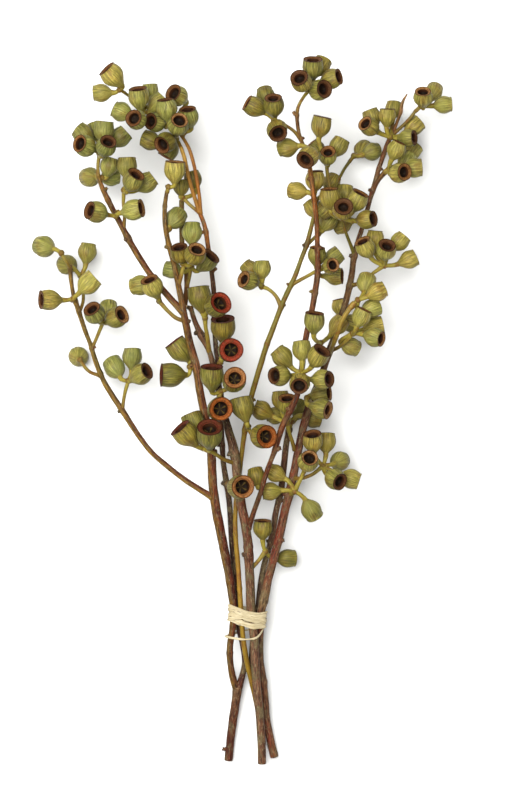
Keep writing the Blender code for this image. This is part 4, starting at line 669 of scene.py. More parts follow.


# sideColourAndLight gives a way, a colour and a most share for one side of a stem: partly the bark's own colour,
# partly painted light and shade
barkLooks = {
    "left_branch": {
        "foot": {"stops": [(760, "5e3626"), (735, "5a3323"), (704, "6b4a34"), (690, "7d6a56")], "wear": 0.5,
                 "sideColourAndLight": (10, "7c4a38", 0.4), "rings": [(692, 2.5, 0.1)]},
        "main": {"stops": [
            (692, "7a6450"), (680, "6a4630"), (655, "744c34"), (630, "6e3e28"), (600, "5c2b1f"), (560, "5a291d"),
            (520, "6e3726"), (480, "7d4532"), (430, "7f4e38"), (395, "7c4d35"), (362, "9a7460"), (350, "6d4228"),
            (320, "6b442c"), (300, "7a5a34"), (260, "8a6f38"), (220, "7d6a38"), (190, "8a7440")],
            "sideColourAndLight": (195, "86742e", 0.75), "wear": 0.35,
            "rings": [(653, 1.2, 0.12), (366, 4.0, 0.16), (320, 1.5, 0.12), (245, 2.0, 0.25), (206, 1.5, 0.2)]},
        "orange_stem": {"stops": [
            (690, "5f3324"), (650, "4c2c21"), (600, "43281c"), (520, "3e291c"), (480, "4e3e2c"), (440, "5c3a28"),
            (400, "4c2f20"), (345, "452b1e"), (300, "4e3222"), (262, "6b4a2c"), (240, "9a6a34"), (211, "a8703a")],
            "wear": 0.6, "rings": [(484, 3.0, 0.25), (445, 2.0, 0.15), (367, 2.0, 0.2), (232, 1.8, 0.25)]},
        "orange_left": {"stops": [(213, "b5813c"), (180, "c08a44"), (150, "c9a050")], "wear": 0.1},
        "orange_right": {"stops": [
            (214, "b8803a"), (180, "b5702f"), (150, "b07a3a"), (110, "8d7a3a"), (90, "8a7a3c")], "wear": 0.1},
        "left_arm": {"stops": [
            (313, "6e452c"), (275, "7a4a30"), (240, "6a4228"), (205, "6f4a32"), (185, "8a6a42"), (175, "9a8a48")],
            "sideColourAndLight": (215, "9a8a3c", 0.6), "wear": 0.3, "rings": [(238, 2.4, 0.3), (200, 1.5, 0.12)]},
        "inner_twig": {"stops": [(306, "6b452c"), (270, "7d5a34"), (230, "7a6a3a"), (200, "8d7d40")], "wear": 0.2},
        "low_side": {"stops": [
            (497, "6e4632"), (480, "6a3c2c"), (440, "6e4630"), (400, "7a6236"), (370, "6f6a34"), (340, "7a7236"),
            (310, "7a6a3a"), (265, "7d6a3c")],
            "sideColourAndLight": (230, "a09038", 0.8), "wear": 0.2,
            "rings": [(409, 2.0, 0.12), (374, 1.6, 0.22), (348, 1.5, 0.2), (300, 2.2, 0.35), (312, 1.5, 0.15)]},
    },
    "centre_branch": {
        "main": {"stops": [
            (764, "7a5c4e"), (740, "7c5c4e"), (700, "7f6458"), (660, "806459"), (614, "7c5d4f"), (590, "836c60"),
            (560, "72473a"), (530, "704438"), (500, "845442"), (470, "7d6457"), (450, "836e60"), (440, "6a4432"),
            (425, "4c3828"), (400, "523f2f"), (370, "5c4632"), (345, "6a4c34"), (322, "6d4a30"), (306, "7a5a38")],
            "sideColourAndLight": (175, "94877a", 0.35), "wear": 0.8,
            "rings": [(556, 3.0, 0.1), (547, 1.6, 0.1), (503, 4.0, 0.08), (452, 5.0, 0.15), (393, 2.5, 0.2),
                      (335, 3.0, 0.2), (307, 2.0, 0.2)]},
        "front_stem": {"stops": [
            (529, "6c4132"), (500, "71402c"), (470, "703e2c"), (440, "7c4c32"), (400, "70412c"), (375, "774730"),
            (330, "7c4d30"), (300, "73503a"), (260, "71442a"), (225, "7f5428"), (195, "a8702c"), (180, "a87030"),
            (165, "a5803a"), (148, "93803a"), (122, "6a4a2a"), (113, "8a7436")],
            "sideColourAndLight": (190, "8d6a3c", 0.3), "wear": 0.35,
            "rings": [(449, 2.5, 0.2), (409, 3.0, 0.15), (376, 2.0, 0.12), (293, 1.6, 0.2), (248, 2.0, 0.2),
                      (179, 1.6, 0.22), (138, 1.4, 0.22), (115, 1.4, 0.3)]},
    },
    "yellow_branch": {
        "main": {"stops": [
            (745, "8f7228"), (720, "a5862e"), (690, "a58430"), (660, "b4943c"), (640, "b49238"), (600, "c4a046"),
            (575, "b8863a"), (550, "bc983a"), (520, "ab8a32"), (500, "9c8130"), (465, "a28c38"), (430, "a58e3a"),
            (400, "978532"), (370, "918236"), (330, "8c8138"), (300, "88823c"), (260, "8e8640"), (245, "6e5a34"),
            (230, "8e8640"), (210, "958c46")],
            "sideColourAndLight": (350, "8a5a28", 0.4), "wear": 0.08,
            "rings": [(589, 1.5, 0.12), (430, 2.2, 0.25), (402, 1.8, 0.2), (344, 1.5, 0.1), (306, 1.6, 0.22),
                      (285, 1.6, 0.2), (245, 1.8, 0.3)]},
    },
    "right_branch": {
        "main": {"stops": [
            (757, "7d5230"), (738, "7c3c2e"), (700, "6f4838"), (650, "5c3c32"), (614, "6b3528"), (603, "8f856c"),
            (592, "86745f"), (575, "7c4436"), (540, "7f4132"), (510, "764231"), (480, "774230"), (440, "6d3f2c"),
            (405, "613c28"), (370, "5e462a"), (330, "614c2c"), (290, "6b5430"), (255, "6e5432"), (230, "5e3c2a"),
            (200, "704632"), (175, "6c4428"), (150, "6e4a2a"), (134, "7a5a38")],
            "sideColourAndLight": (5, "8c7a68", 0.4), "wear": 0.5,
            "rings": [(682, 1.6, 0.12), (601, 2.0, 0.14), (541, 2.0, 0.06), (495, 3.0, 0.12), (402, 2.5, 0.1),
                      (352, 3.0, 0.15), (286, 2.0, 0.2), (256, 2.2, 0.2), (191, 2.0, 0.2), (169, 1.6, 0.12)]},
        "dry_tip": {"stops": [(137, "8f6f4c"), (112, "a5845c"), (94, "b59a70")], "wear": 0.2,
                    "rings": [(112, 1.2, 0.3)]},
        "tip_twig": {"stops": [(136, "8a7436"), (110, "8e7c3c")], "wear": 0.1},
        "crossing_twig": {"stops": [(353, "a58a40"), (320, "baa050"), (302, "b89a58")], "wear": 0.15,
                          "rings": [(306, 1.5, 0.2)]},
        "inner_twig": {"stops": [(255, "7d7438"), (190, "857a3c")], "wear": 0.1, "rings": [(217, 1.5, 0.25)]},
        "far_twig": {"stops": [(196, "7d7438"), (160, "857a3c")], "wear": 0.1},
        "upper_twig": {"stops": [(191, "6e4a2c"), (172, "7d6434")], "wear": 0.2},
    },
    "short_dark_stem": {
        "main": {"stops": [
            (655, "43332a"), (610, "46362c"), (590, "4d3d33"), (560, "503f35"), (530, "6a5244"), (495, "5c4436"),
            (460, "5e3e2c"), (430, "5c4832")],
            "sideColourAndLight": (0, "8a7a6a", 0.3), "wear": 0.7, "rings": [(541, 2.0, 0.12), (499, 2.0, 0.15), (430, 2.0, 0.3)]},
    },
}
print("palettes ready")


# A route's x, height and width where it crosses a level of the view
def atLevel(route, y):
    for start, end in zip(route, route[1:]):
        low, high = sorted((start[1], end[1]))
        if low <= y <= high:
            share = (y - start[1]) / (end[1] - start[1])
            return [start[i] + (end[i] - start[i]) * share for i in (0, 2, 3)]
    return None


# Eucalypt bark, dried on the stem: matt, with lengthwise streaks, grey weathered patches and
# fine cracks, so a stem reads as wood and not as a painted rod
def weatheredBark():
    material, tree, shader, read = startMaterial("eucalypt bark, dried on the stem")
    streaks = grainOf(tree, read, (1.0, 1.0, 0.16), 1.1, detail=5)
    patches = grainOf(tree, read, (0.6, 0.6, 0.35), 0.30, detail=4, roughness=0.62)
    specks = grainOf(tree, read, (1.0, 1.0, 0.7), 1.9, detail=2)
    flecks = grainOf(tree, read, (1.0, 1.0, 0.35), 0.95, detail=3, roughness=0.7)
    light = rangeOf(tree, streaks, 0.36, 0.64, 0.35, 2.05)
    grey = addNode(tree, "ShaderNodeCombineXYZ", {0: light, 1: light, 2: light})
    colour = mixed(tree, 1.0, read["tint"].outputs["Vector"], grey.outputs[0], "MULTIPLY")
    worn = times(tree, rangeOf(tree, patches, 0.52, 0.58), read["wear"].outputs["Fac"])
    colour = mixed(tree, worn, colour, "51472f")
    dark = times(tree, rangeOf(tree, specks, 0.58, 0.68), 0.65)
    colour = mixed(tree, dark, colour, "1c0f08")
    pale = times(tree, rangeOf(tree, flecks, 0.57, 0.63), rangeOf(tree, read["wear"].outputs["Fac"], 0.0, 0.8, 0.2, 0.7))
    colour = mixed(tree, pale, colour, "75674a")
    tree.links.new(colour, shader.inputs["Base Color"])
    tree.links.new(rangeOf(tree, patches, 0.3, 0.7, 0.55, 0.80), shader.inputs["Roughness"])
    height = times(tree, times(tree, streaks, 0.7), times(tree, specks, -0.35), "ADD")
    bump = addNode(tree, "ShaderNodeBump", {"Height": height, "Strength": 0.55, "Distance": 0.0006})
    tree.links.new(bump.outputs[0], shader.inputs["Normal"])
    shader.inputs["IOR"].default_value = 1.45
    shader.inputs["Specular IOR Level"].default_value = 0.16
    return material


# Green wood just under thin bark, as on pedicels and yellow stems: smoother and a little waxy
def greenTwig():
    material, tree, shader, read = startMaterial("green twig bark, thin and waxy")
    streaks = grainOf(tree, read, (1.0, 1.0, 0.12), 1.3, detail=4)
    blotches = grainOf(tree, read, (0.8, 0.8, 0.5), 0.42, detail=4)
    specks = grainOf(tree, read, (1.0, 1.0, 0.6), 1.5, detail=2)
    light = rangeOf(tree, streaks, 0.3, 0.7, 0.66, 1.28)
    grey = addNode(tree, "ShaderNodeCombineXYZ", {0: light, 1: light, 2: light})
    colour = mixed(tree, 1.0, read["tint"].outputs["Vector"], grey.outputs[0], "MULTIPLY")
    colour = mixed(tree, times(tree, rangeOf(tree, blotches, 0.53, 0.64), 0.6), colour, "5c3214")
    colour = mixed(tree, times(tree, rangeOf(tree, specks, 0.61, 0.69), 0.75), colour, "301a0c")
    tree.links.new(colour, shader.inputs["Base Color"])
    tree.links.new(rangeOf(tree, blotches, 0.3, 0.7, 0.42, 0.60), shader.inputs["Roughness"])
    bump = addNode(tree, "ShaderNodeBump", {"Height": streaks, "Strength": 0.35, "Distance": 0.0005})
    tree.links.new(bump.outputs[0], shader.inputs["Normal"])
    shader.inputs["IOR"].default_value = 1.45
    shader.inputs["Specular IOR Level"].default_value = 0.16
    return material


# The nut's leathery skin, dried green: pale ribs, olive between them, thin wrinkles, brown freckles
# and a dark scorched edge at the mouth, with the low sheen of old wax
def gumnutSkin():
    material, tree, shader, read = startMaterial("gumnut skin, dried green")
    bands = grainOf(tree, read, (1.0, 1.0, 0.14), 0.55, detail=3)
    lines = grainOf(tree, read, (1.0, 1.0, 0.08), 1.9, detail=2, distortion=0.3)
    mottle = grainOf(tree, read, (1.0, 1.0, 0.8), 0.15, detail=4)
    freckles = grainOf(tree, read, (1.0, 1.0, 0.8), 1.1, detail=3, roughness=0.7)
    ribs = read["ribs"].outputs["Fac"]
    run = read["run"].outputs["Fac"]
    broad = times(tree, times(tree, ribs, 0.20), times(tree, rangeOf(tree, bands, 0.34, 0.66), 0.24), "ADD")
    fine = times(tree, rangeOf(tree, lines, 0.37, 0.63), rangeOf(tree, run, 0.15, 0.75, 0.26, 0.56))
    broad = times(tree, broad, rangeOf(tree, run, 0.15, 0.75, 0.20, 0.0), "ADD")
    pale = times(tree, broad, fine, "ADD")
    colour = mixed(tree, pale, "241f08", "aa9e4c")
    colour = mixed(tree, times(tree, rangeOf(tree, mottle, 0.46, 0.62), 0.45), colour, "666622")
    colour = mixed(tree, times(tree, rangeOf(tree, mottle, 0.46, 0.36), 0.45), colour, "6a501c")
    wrinkles = times(tree, times(tree, lines, 0.5, "SUBTRACT"), 0.0, "ABSOLUTE")
    colour = mixed(tree, times(tree, rangeOf(tree, wrinkles, 0.022, 0.004), 0.40), colour, "2b240a")
    colour = mixed(tree, 1.0, colour, read["tint"].outputs["Vector"], "MULTIPLY")
    colour = mixed(tree, times(tree, rangeOf(tree, freckles, 0.60, 0.68), 0.6), colour, "44280e")
    colour = mixed(tree, times(tree, rangeOf(tree, run, 0.16, 0.0), 0.45), colour, "523a14")
    colour = mixed(tree, times(tree, rangeOf(tree, run, 0.955, 0.98), 0.92), colour, "2c1409")
    tree.links.new(colour, shader.inputs["Base Color"])
    tree.links.new(rangeOf(tree, mottle, 0.3, 0.7, 0.44, 0.62), shader.inputs["Roughness"])
    height = times(tree, lines, times(tree, bands, 0.8), "ADD")
    bump = addNode(tree, "ShaderNodeBump", {"Height": height, "Strength": 0.7, "Distance": 0.0006})
    tree.links.new(bump.outputs[0], shader.inputs["Normal"])
    shader.inputs["IOR"].default_value = 1.46
    shader.inputs["Specular IOR Level"].default_value = 0.22
    return material


# The woody mouth: a thin dark edge, a tan to red-brown sloping ring, a dark lip and a deep bowl
# whose inside is painted near black as painted shade, with the valves of the big ones showing as thin olive rays
def gumnutMouth():
    material, tree, shader, read = startMaterial("gumnut mouth, bare wood")
    run = rangeOf(tree, read["run"].outputs["Fac"], 1.0, 2.0)
    light = addNode(tree, "ShaderNodeValToRGB", {"Fac": run})
    stops = ((0.0, "5a3424"), (0.06, "6b4430"), (0.11, "b09c8c"), (0.22, "ffffff"), (0.34, "d6c4b4"),
             (0.385, "c4ae9a"), (0.415, "ffffff"), (0.445, "e8d8c0"), (0.475, "6b4c3c"), (1.0, "452a1e"))
    ramp = light.color_ramp
    while len(ramp.elements) < len(stops):
        ramp.elements.new(0.5)
    for element, (at, shade) in zip(ramp.elements, stops):
        element.position = at
        element.color = (*linear(shade), 1)
    colour = mixed(tree, 1.0, read["mouthTint"].outputs["Vector"], light.outputs["Color"], "MULTIPLY")
    grainNoise = grainOf(tree, read, (1.0, 1.0, 1.0), 1.1, detail=4)
    shade = rangeOf(tree, grainNoise, 0.3, 0.7, 0.42, 1.40)
    grey = addNode(tree, "ShaderNodeCombineXYZ", {0: shade, 1: shade, 2: shade})
    colour = mixed(tree, 1.0, colour, grey.outputs[0], "MULTIPLY")
    stains = grainOf(tree, read, (1.0, 1.0, 1.0), 0.45, detail=4)
    isRing = rangeOf(tree, run, 0.44, 0.40)
    colour = mixed(tree, times(tree, times(tree, rangeOf(tree, stains, 0.5, 0.6), 0.45), isRing), colour, "3c2812")
    # From the lip inwards the colour turns dark brown and then near black: a dark lip line, then painted shade deep
    # in the bowl
    colour = mixed(tree, rangeOf(tree, run, 0.465, 0.50), colour, "2b160a")
    colour = mixed(tree, rangeOf(tree, run, 0.56, 0.72), colour, "120a06")
    colour = mixed(tree, times(tree, read["star"].outputs["Fac"], 0.7), colour, "54441c")
    tree.links.new(colour, shader.inputs["Base Color"])
    tree.links.new(rangeOf(tree, grainNoise, 0.3, 0.7, 0.5, 0.7), shader.inputs["Roughness"])
    bump = addNode(tree, "ShaderNodeBump", {"Height": grainNoise, "Strength": 0.5, "Distance": 0.0005})
    tree.links.new(bump.outputs[0], shader.inputs["Normal"])
    shader.inputs["IOR"].default_value = 1.46
    shader.inputs["Specular IOR Level"].default_value = 0.05
    return material


# Bare wood where a stem was cut: pale, with darker rings
def cutWood():
    material, tree, shader, read = startMaterial("cut twig wood")
    rings = grainOf(tree, read, (1.0, 1.0, 0.2), 1.6, detail=3)
    colour = mixed(tree, rangeOf(tree, rings, 0.35, 0.65), "8a6440", "c9a878")
    tree.links.new(colour, shader.inputs["Base Color"])
    tree.links.new(rangeOf(tree, rings, 0.3, 0.7, 0.6, 0.85), shader.inputs["Roughness"])
    bump = addNode(tree, "ShaderNodeBump", {"Height": rings, "Strength": 0.4, "Distance": 0.0003})
    tree.links.new(bump.outputs[0], shader.inputs["Normal"])
    return material


# Raffia palm leaf, split and dried: pale straw with long fibres, satin where it is pulled flat
def driedRaffia():
    material, tree, shader, read = startMaterial("raffia palm leaf, split and dried")
    fibres = grainOf(tree, read, (1.0, 1.0, 0.05), 2.2, detail=4)
    stains = grainOf(tree, read, (0.5, 0.5, 0.3), 0.5, detail=3)
    colour = mixed(tree, rangeOf(tree, fibres, 0.32, 0.66), "8e7e5a", "b2a686")
    colour = mixed(tree, times(tree, rangeOf(tree, stains, 0.5, 0.7), 0.35), colour, "94804e")
    # Thin dark lines along the fibres: painted shade, standing in for the shaded slits and creases between strands
    shadedSlits = grainOf(tree, read, (1.0, 1.0, 0.16), 1.0, detail=2)
    colour = mixed(tree, times(tree, rangeOf(tree, shadedSlits, 0.64, 0.70), 0.75), colour, "3e2c14")
    tree.links.new(colour, shader.inputs["Base Color"])
    tree.links.new(rangeOf(tree, fibres, 0.3, 0.7, 0.48, 0.62), shader.inputs["Roughness"])
    bump = addNode(tree, "ShaderNodeBump", {"Height": fibres, "Strength": 0.6, "Distance": 0.0004})
    tree.links.new(bump.outputs[0], shader.inputs["Normal"])
    return material


barkFinish = weatheredBark()
twigFinish = greenTwig()
skinFinish = gumnutSkin()
mouthFinish = gumnutMouth()
woodFinish = cutWood()
raffiaFinish = driedRaffia()
print("materials ready")

# Small things that stay on a stem: stem, its level in the view, the way it points, its rise, length,
# width at the stem and at the tip, and colour. A way is in degrees from the right, anticlockwise.
stubs = {
    "left_branch": (
        ("foot", 749, 185, 10, 2.0, 3.2, 2.8, "5e3a28"),
        ("main", 452, 5, 30, 1.2, 3.4, 2.5, "5c3a26"),
        ("main", 367, 165, 30, 1.9, 4.2, 3.2, "6e5138"),
        ("main", 372, 20, 35, 1.6, 3.4, 2.1, "5a4030"),
        ("main", 322, 10, 30, 1.4, 3.2, 2.3, "4c3424"),
        ("main", 246, 200, 25, 1.6, 3.4, 2.5, "6d5a30"),
        ("orange_stem", 484, 175, 30, 1.6, 4.0, 3.2, "54483a"),
        ("orange_stem", 445, 190, 20, 1.2, 3.2, 2.3, "4a3828"),
        ("orange_stem", 272, 30, 25, 2.5, 2.8, 2.3, "6d4a2a"),
        ("orange_stem", 232, 190, 20, 1.2, 3.0, 2.3, "7d5428"),
        ("left_arm", 240, 170, 30, 1.7, 4.0, 3.0, "4c3020"),
        ("left_arm", 212, 10, 35, 1.9, 2.8, 1.6, "7a6430"),
        ("left_arm", 190, 20, 35, 1.6, 3.0, 2.3, "6a5228"),
        ("low_side", 409, 230, 20, 1.1, 3.0, 2.3, "5e5228"),
        ("low_side", 349, 30, 30, 1.3, 3.0, 2.1, "6a4a2c"),
        ("low_side", 300, 200, 25, 1.6, 3.2, 2.5, "7a5c38"),
    ),
    "centre_branch": (
        ("main", 553, 200, 25, 1.3, 4.4, 3.4, "5c463a"),
        ("main", 455, 170, 40, 1.7, 4.6, 3.7, "7a6c5a"),
        ("main", 393, 190, 20, 1.8, 3.6, 2.5, "3c2c20"),
        ("main", 333, 185, 25, 2.0, 3.8, 2.8, "403024"),
        ("main", 336, 20, 30, 1.6, 3.4, 2.3, "403024"),
        ("main", 308, 170, 30, 1.7, 3.4, 2.3, "5c4630"),
        ("front_stem", 449, 5, 25, 1.9, 4.0, 3.2, "6a4634"),
        ("front_stem", 409, 175, 20, 1.2, 3.4, 2.5, "6d452c"),
        ("front_stem", 293, 160, 25, 1.7, 3.0, 2.1, "84703c"),
        ("front_stem", 248, 10, 20, 1.3, 3.2, 2.3, "5c3a22"),
        ("front_stem", 179, 175, 25, 1.2, 3.0, 2.3, "7a4c24"),
        ("front_stem", 138, 350, 20, 1.3, 2.8, 2.1, "5e3c24"),
        ("front_stem", 115, 150, 25, 2.0, 3.0, 2.5, "84603c"),
    ),
    "yellow_branch": (
        ("main", 430, 5, 30, 1.6, 3.2, 2.3, "5c3a26"),
        ("main", 401, 10, 25, 1.7, 2.8, 1.8, "7d6a34"),
        ("main", 306, 15, 30, 1.2, 3.0, 2.1, "5e4a22"),
        ("main", 285, 170, 25, 1.4, 2.8, 1.8, "6a4c28"),
        ("main", 245, 190, 25, 1.4, 2.8, 2.1, "4a3420"),
    ),
    "right_branch": (
        ("main", 541, 5, 20, 1.0, 3.6, 2.8, "5c2e24"),
        ("main", 495, 175, 25, 1.3, 3.6, 2.5, "5c3828"),
        ("main", 402, 5, 20, 1.3, 3.4, 2.5, "50301f"),
        ("main", 352, 170, 25, 1.4, 3.4, 2.5, "50301f"),
        ("main", 286, 15, 30, 2.2, 3.2, 2.1, "7d6c34"),
        ("main", 256, 180, 25, 1.4, 3.4, 2.5, "46301e"),
        ("main", 191, 170, 25, 1.3, 3.0, 2.3, "50341f"),
        ("main", 169, 350, 25, 1.2, 2.8, 2.1, "50341f"),
        ("dry_tip", 104, 60, 20, 2.4, 1.6, 0.9, "8a6c48"),
    ),
    "short_dark_stem": (
        ("main", 501, 5, 25, 1.8, 3.2, 2.1, "54402f"),
        ("main", 541, 185, 25, 1.1, 3.0, 2.3, "40322a"),
    ),
}


# A stub, bud scar or knot on a stem, with a rough end where something broke off
def addStub(piece, route, row, seed):
    level, way, rise, length, width, tip, colour = row
    x, height, stemWidth = atLevel(route, level)
    outward = np.array(facing(way, rise))
    start = np.array(place(x, level, height)) / mm + outward * stemWidth * 0.30
    reach = stemWidth * 0.22 + length
    shares = np.linspace(0, 1, 8)
    bend = np.array((0.0, 1.0, 0.0)) * length * 0.25
    centres = start + outward * reach * shares[:, None] + bend * shares[:, None] ** 2
    radii = (width + (tip - width) * shares**0.7) / 2 * (1 + 0.14 * np.sin(shares * 7 + seed))
    sides = 14
    turns = np.arange(sides) * 2 * math.pi / sides
    across, up = framesAlong(centres)
    out = across[:, None] * np.cos(turns)[None, :, None] + up[:, None] * np.sin(turns)[None, :, None]
    lumps = roughly((centres[:, None] + out * radii[:, None, None]).reshape(-1, 3), 1.4, seed).reshape(len(centres), sides)
    rings = centres[:, None] + out * (radii[:, None] * (1 + 0.20 * lumps))[:, :, None]
    rings[-1] += outward * 0.5 * lumps[-1][:, None]
    pattern = rings - start + seed * 13.0
    tint = np.broadcast_to(np.array(linear(colour)) * barkShape["stubDepth"], (*lumps.shape, 3))
    piece.addSurface(rings, 0, place=pattern, tint=tint, wear=np.full((*lumps.shape, 1), 0.4))


for index, (name, routes) in enumerate(branches.items()):
    piece = Piece(name + "_wood")
    for order, (key, route) in enumerate(routes.items()):
        isGreen = name == "yellow_branch" or key in (
            "orange_left", "orange_right", "tip_twig", "inner_twig", "far_twig", "crossing_twig")
        look = dict(barkLooks[name][key], depth=barkShape["twigDepth" if isGreen else "barkDepth"])
        addStem(piece, route, look, seed=index * 31 + order * 7, slot=1 if isGreen else 0,
                flare=barkShape["collar"] if order and key != "main" else 0.0, endSlot=2)
    for order, row in enumerate(stubs.get(name, ())):
        addStub(piece, branches[name][row[0]], row[1:], index * 50 + order)
    piece.build([barkFinish, twigFinish, woodFinish], name)
print("branches made")

nutShape = {
    "sides": 72,
    # outlines from the pedicel to the widest place, as shares of the width: how far along the axis,
    # the radius of a round-bottomed nut and that of a conical one
    "lower": ((-0.64, 0.100, 0.125), (-0.58, 0.120, 0.148), (-0.52, 0.168, 0.180), (-0.46, 0.235, 0.218),
              (-0.40, 0.302, 0.262), (-0.33, 0.368, 0.318), (-0.25, 0.425, 0.380), (-0.16, 0.468, 0.437),
              (-0.06, 0.492, 0.480), (0.04, 0.500, 0.498)),
    "upperLevels": (0.13, 0.21, 0.28, 0.34, 0.385, 0.42, 0.44),
    "flareFrom": 0.385,
    "ribCount": 17,
    "ribDepth": 0.022,
    "lumps": 0.03,
    "lean": 0.022,  # how far the plane of the mouth may lean
    "small": {"mouth": (0.390, 0.465), "hole": (0.238, 0.288), "slope": (0.03, 0.08), "flare": (0.0, 0.018),
              "star": 0.12},
    "big": {"mouth": (0.465, 0.492), "hole": (0.255, 0.290), "slope": (0.035, 0.07), "flare": (0.010, 0.022),
            "star": 0.75},
    "rim": 0.016,  # the width of the edge on top
    "valves": 5,
}
# clusters of the larger kind, with the colour of each nut's mouth
bigMouthed = {
    "orange_nuts_01": ("tan",), "orange_nuts_02": ("maroon", "red"), "centre_nuts_01": ("maroon", "red"),
    "centre_nuts_02": ("maroon", "tan", "orange"), "centre_nuts_03": ("maroon", "maroon", "tan"),
    "yellow_nuts_01": ("maroon", "orange"), "left_nuts_16": ("maroon", "maroon"),
}


# Rows of how far along the axis, radius, run and rib strength: from the neck over the outside, the
# mouth's edge and its ring, down to the valves
def nutProfile(chance, kind):
    mouth, hole, slope, flare = (chance.uniform(*kind[key]) for key in ("mouth", "hole", "slope", "flare"))
    cone = chance.uniform(0, 1)
    rows = []
    for i, (along, rounded, conical) in enumerate(nutShape["lower"]):
        rows.append((along, rounded + (conical - rounded) * cone, 0.6 * i / len(nutShape["lower"]), min(1.0, i / 4)))
    waist = mouth - flare
    for along in nutShape["upperLevels"]:
        share = min(1.0, along / nutShape["flareFrom"])
        radius = 0.5 + (waist - 0.5) * share**2.0
        out = max(0.0, (along - nutShape["flareFrom"]) / (0.44 - nutShape["flareFrom"]))
        rows.append((along, radius + flare * out, 0.6 + 0.37 * along / 0.44, 1.0 - 0.5 * share))
    top = 0.45
    rim = nutShape["rim"]
    rows += [(top, mouth - 0.003, 0.985, 0.2), (top + 0.003, mouth - rim * 0.5, 1.03, 0.1),
             (top, mouth - rim, 1.08, 0.1)]
    for share, sink, run in ((0.12, 0.20, 1.14), (0.35, 0.42, 1.20), (0.65, 0.72, 1.30), (0.9, 0.95, 1.38),
                             (1.0, 1.0, 1.43)):
        rows.append((top - slope * sink, mouth - rim + (hole + 0.010 - mouth + rim) * share, run, 0.0))
    lip = top - slope - 0.018
    rows += [(lip, hole, 1.48, 0.0), (lip - 0.06, hole * 0.95, 1.55, 0.0), (lip - 0.15, hole * 0.93, 1.68, 0.0),
             (lip - 0.22, hole * 0.80, 1.78, 0.0), (lip - 0.235, hole * 0.42, 1.90, 0.0)]
    return np.array(rows)


def addNut(piece, nut, chance, isBig, tint, mouthTint):
    width = nut.width / mm
    axis = np.array(nut.axis)
    middle = np.array(nut.alongAxis(0.0)) / mm
    kind = nutShape["big" if isBig else "small"]
    profile = nutProfile(chance, kind)
    sides = nutShape["sides"]
    turns = np.arange(sides) * 2 * math.pi / sides
    phases = chance.uniform(0, 2 * math.pi, 9)
    bent = turns + 0.16 * np.sin(2 * turns + phases[0]) + 0.12 * np.sin(3 * turns + phases[1])
    ribs = 0.5 + 0.5 * np.cos(nutShape["ribCount"] * bent + phases[2])
    ribs = ribs**1.6 * (0.65 + 0.35 * np.sin(4 * turns + phases[3]))
    lumps = np.sin(2 * turns + phases[4]) * 0.6 + np.sin(3 * turns + phases[5]) * 0.4
    start = np.array((0.0, 0.0, 1.0)) if abs(axis[2]) < 0.9 else np.array((1.0, 0.0, 0.0))
    side = start - axis * start.dot(axis)
    side /= np.linalg.norm(side)
    up = np.cross(axis, side)
    out = side[None] * np.cos(turns)[:, None] + up[None] * np.sin(turns)[:, None]
    along, radius, run, ribbed = (profile[:, k][:, None] for k in range(4))
    lastOutside = len(nutShape["lower"]) + len(nutShape["upperLevels"])
    bulge = 1 + nutShape["ribDepth"] * ribbed * (ribs[None] - 0.5) + nutShape["lumps"] * lumps[None]
    ray = np.abs(np.cos(nutShape["valves"] * turns / 2 + phases[6])) ** 14.0
    star = kind["star"] * np.where((run > 1.72) & (run < 2.0), ray[None], 0.0)
    leaning = nutShape["lean"] * np.sin(turns + phases[8])[None] * np.clip(run, 0, 1) ** 3
    level = along + 0.035 * star + 0.006 * np.sin(3 * turns + phases[7])[None] * (run > 0.9) + leaning
    rings = middle + axis * (level * width)[:, :, None] + out[None] * (radius * bulge * width)[:, :, None]
    offset = chance.uniform(-400, 400, 3)
    # the skin's pattern runs over a straight tube, so that its lines follow the nut from neck to mouth
    tube = np.where(run < 1.0, 0.46, radius) * width
    pattern = np.stack([
        np.cos(turns)[None] * tube + offset[0], np.sin(turns)[None] * tube + offset[1],
        along * width + 0 * turns[None] + offset[2]], axis=2)
    shape = level.shape
    slots = [0] * lastOutside + [1] * (len(profile) - 1 - lastOutside)
    piece.addSurface(
        rings, slots, capStart=True, capEnd=True, place=pattern,
        tint=np.broadcast_to(tint, (*shape, 3)), mouthTint=np.broadcast_to(mouthTint, (*shape, 3)),
        ribs=np.broadcast_to(ribs[None] * ribbed, shape)[:, :, None], star=star[:, :, None],
        run=np.broadcast_to(run, shape)[:, :, None])


stalkShape = {
    "sides": 14,
    "step": 0.7,
    "pedicelWidth": 2.8,
    "neckWidth": 4.1,
    "knobWidth": 4.6,
}


# A nut's pedicel: it leaves the knob thick, thins and widens again into the nut
def addPedicel(piece, nut, tint, seed):
    count = 12
    shares = np.linspace(0.05, 1.0, count)
    centres = np.array([tuple(nut.pedicel(share)) for share in shares])
    tail = centres[-1] + np.array(nut.axis) * 0.8
    centres = np.vstack([centres, tail])
    at = np.linspace(0, 1, len(centres))
    radii = stalkShape["pedicelWidth"] / 2 * (1 + 0.30 * np.exp(-at / 0.15))
    radii = radii + (stalkShape["neckWidth"] - stalkShape["pedicelWidth"]) / 2 * at**2
    sides = stalkShape["sides"]
    turns = np.arange(sides) * 2 * math.pi / sides
    across, up = framesAlong(centres)
    out = across[:, None] * np.cos(turns)[None, :, None] + up[:, None] * np.sin(turns)[None, :, None]
    spots = centres[:, None] + out * radii[:, None, None]
    lumps = roughly(spots.reshape(-1, 3), 2.5, seed).reshape(len(centres), sides)
    rings = centres[:, None] + out * (radii[:, None] * (1 + 0.10 * lumps))[:, :, None]
    far = np.concatenate([[0], np.cumsum(np.linalg.norm(np.diff(centres, axis=0), axis=1))])
    pattern = np.stack([
        np.cos(turns)[None] * radii[:, None] + seed * 13.0, np.sin(turns)[None] * radii[:, None],
        np.repeat(far[:, None], sides, axis=1)], axis=2)
    piece.addSurface(
        rings, 2, place=pattern, tint=np.broadcast_to(tint, (*lumps.shape, 3)),
        wear=np.full((*lumps.shape, 1), 0.1))


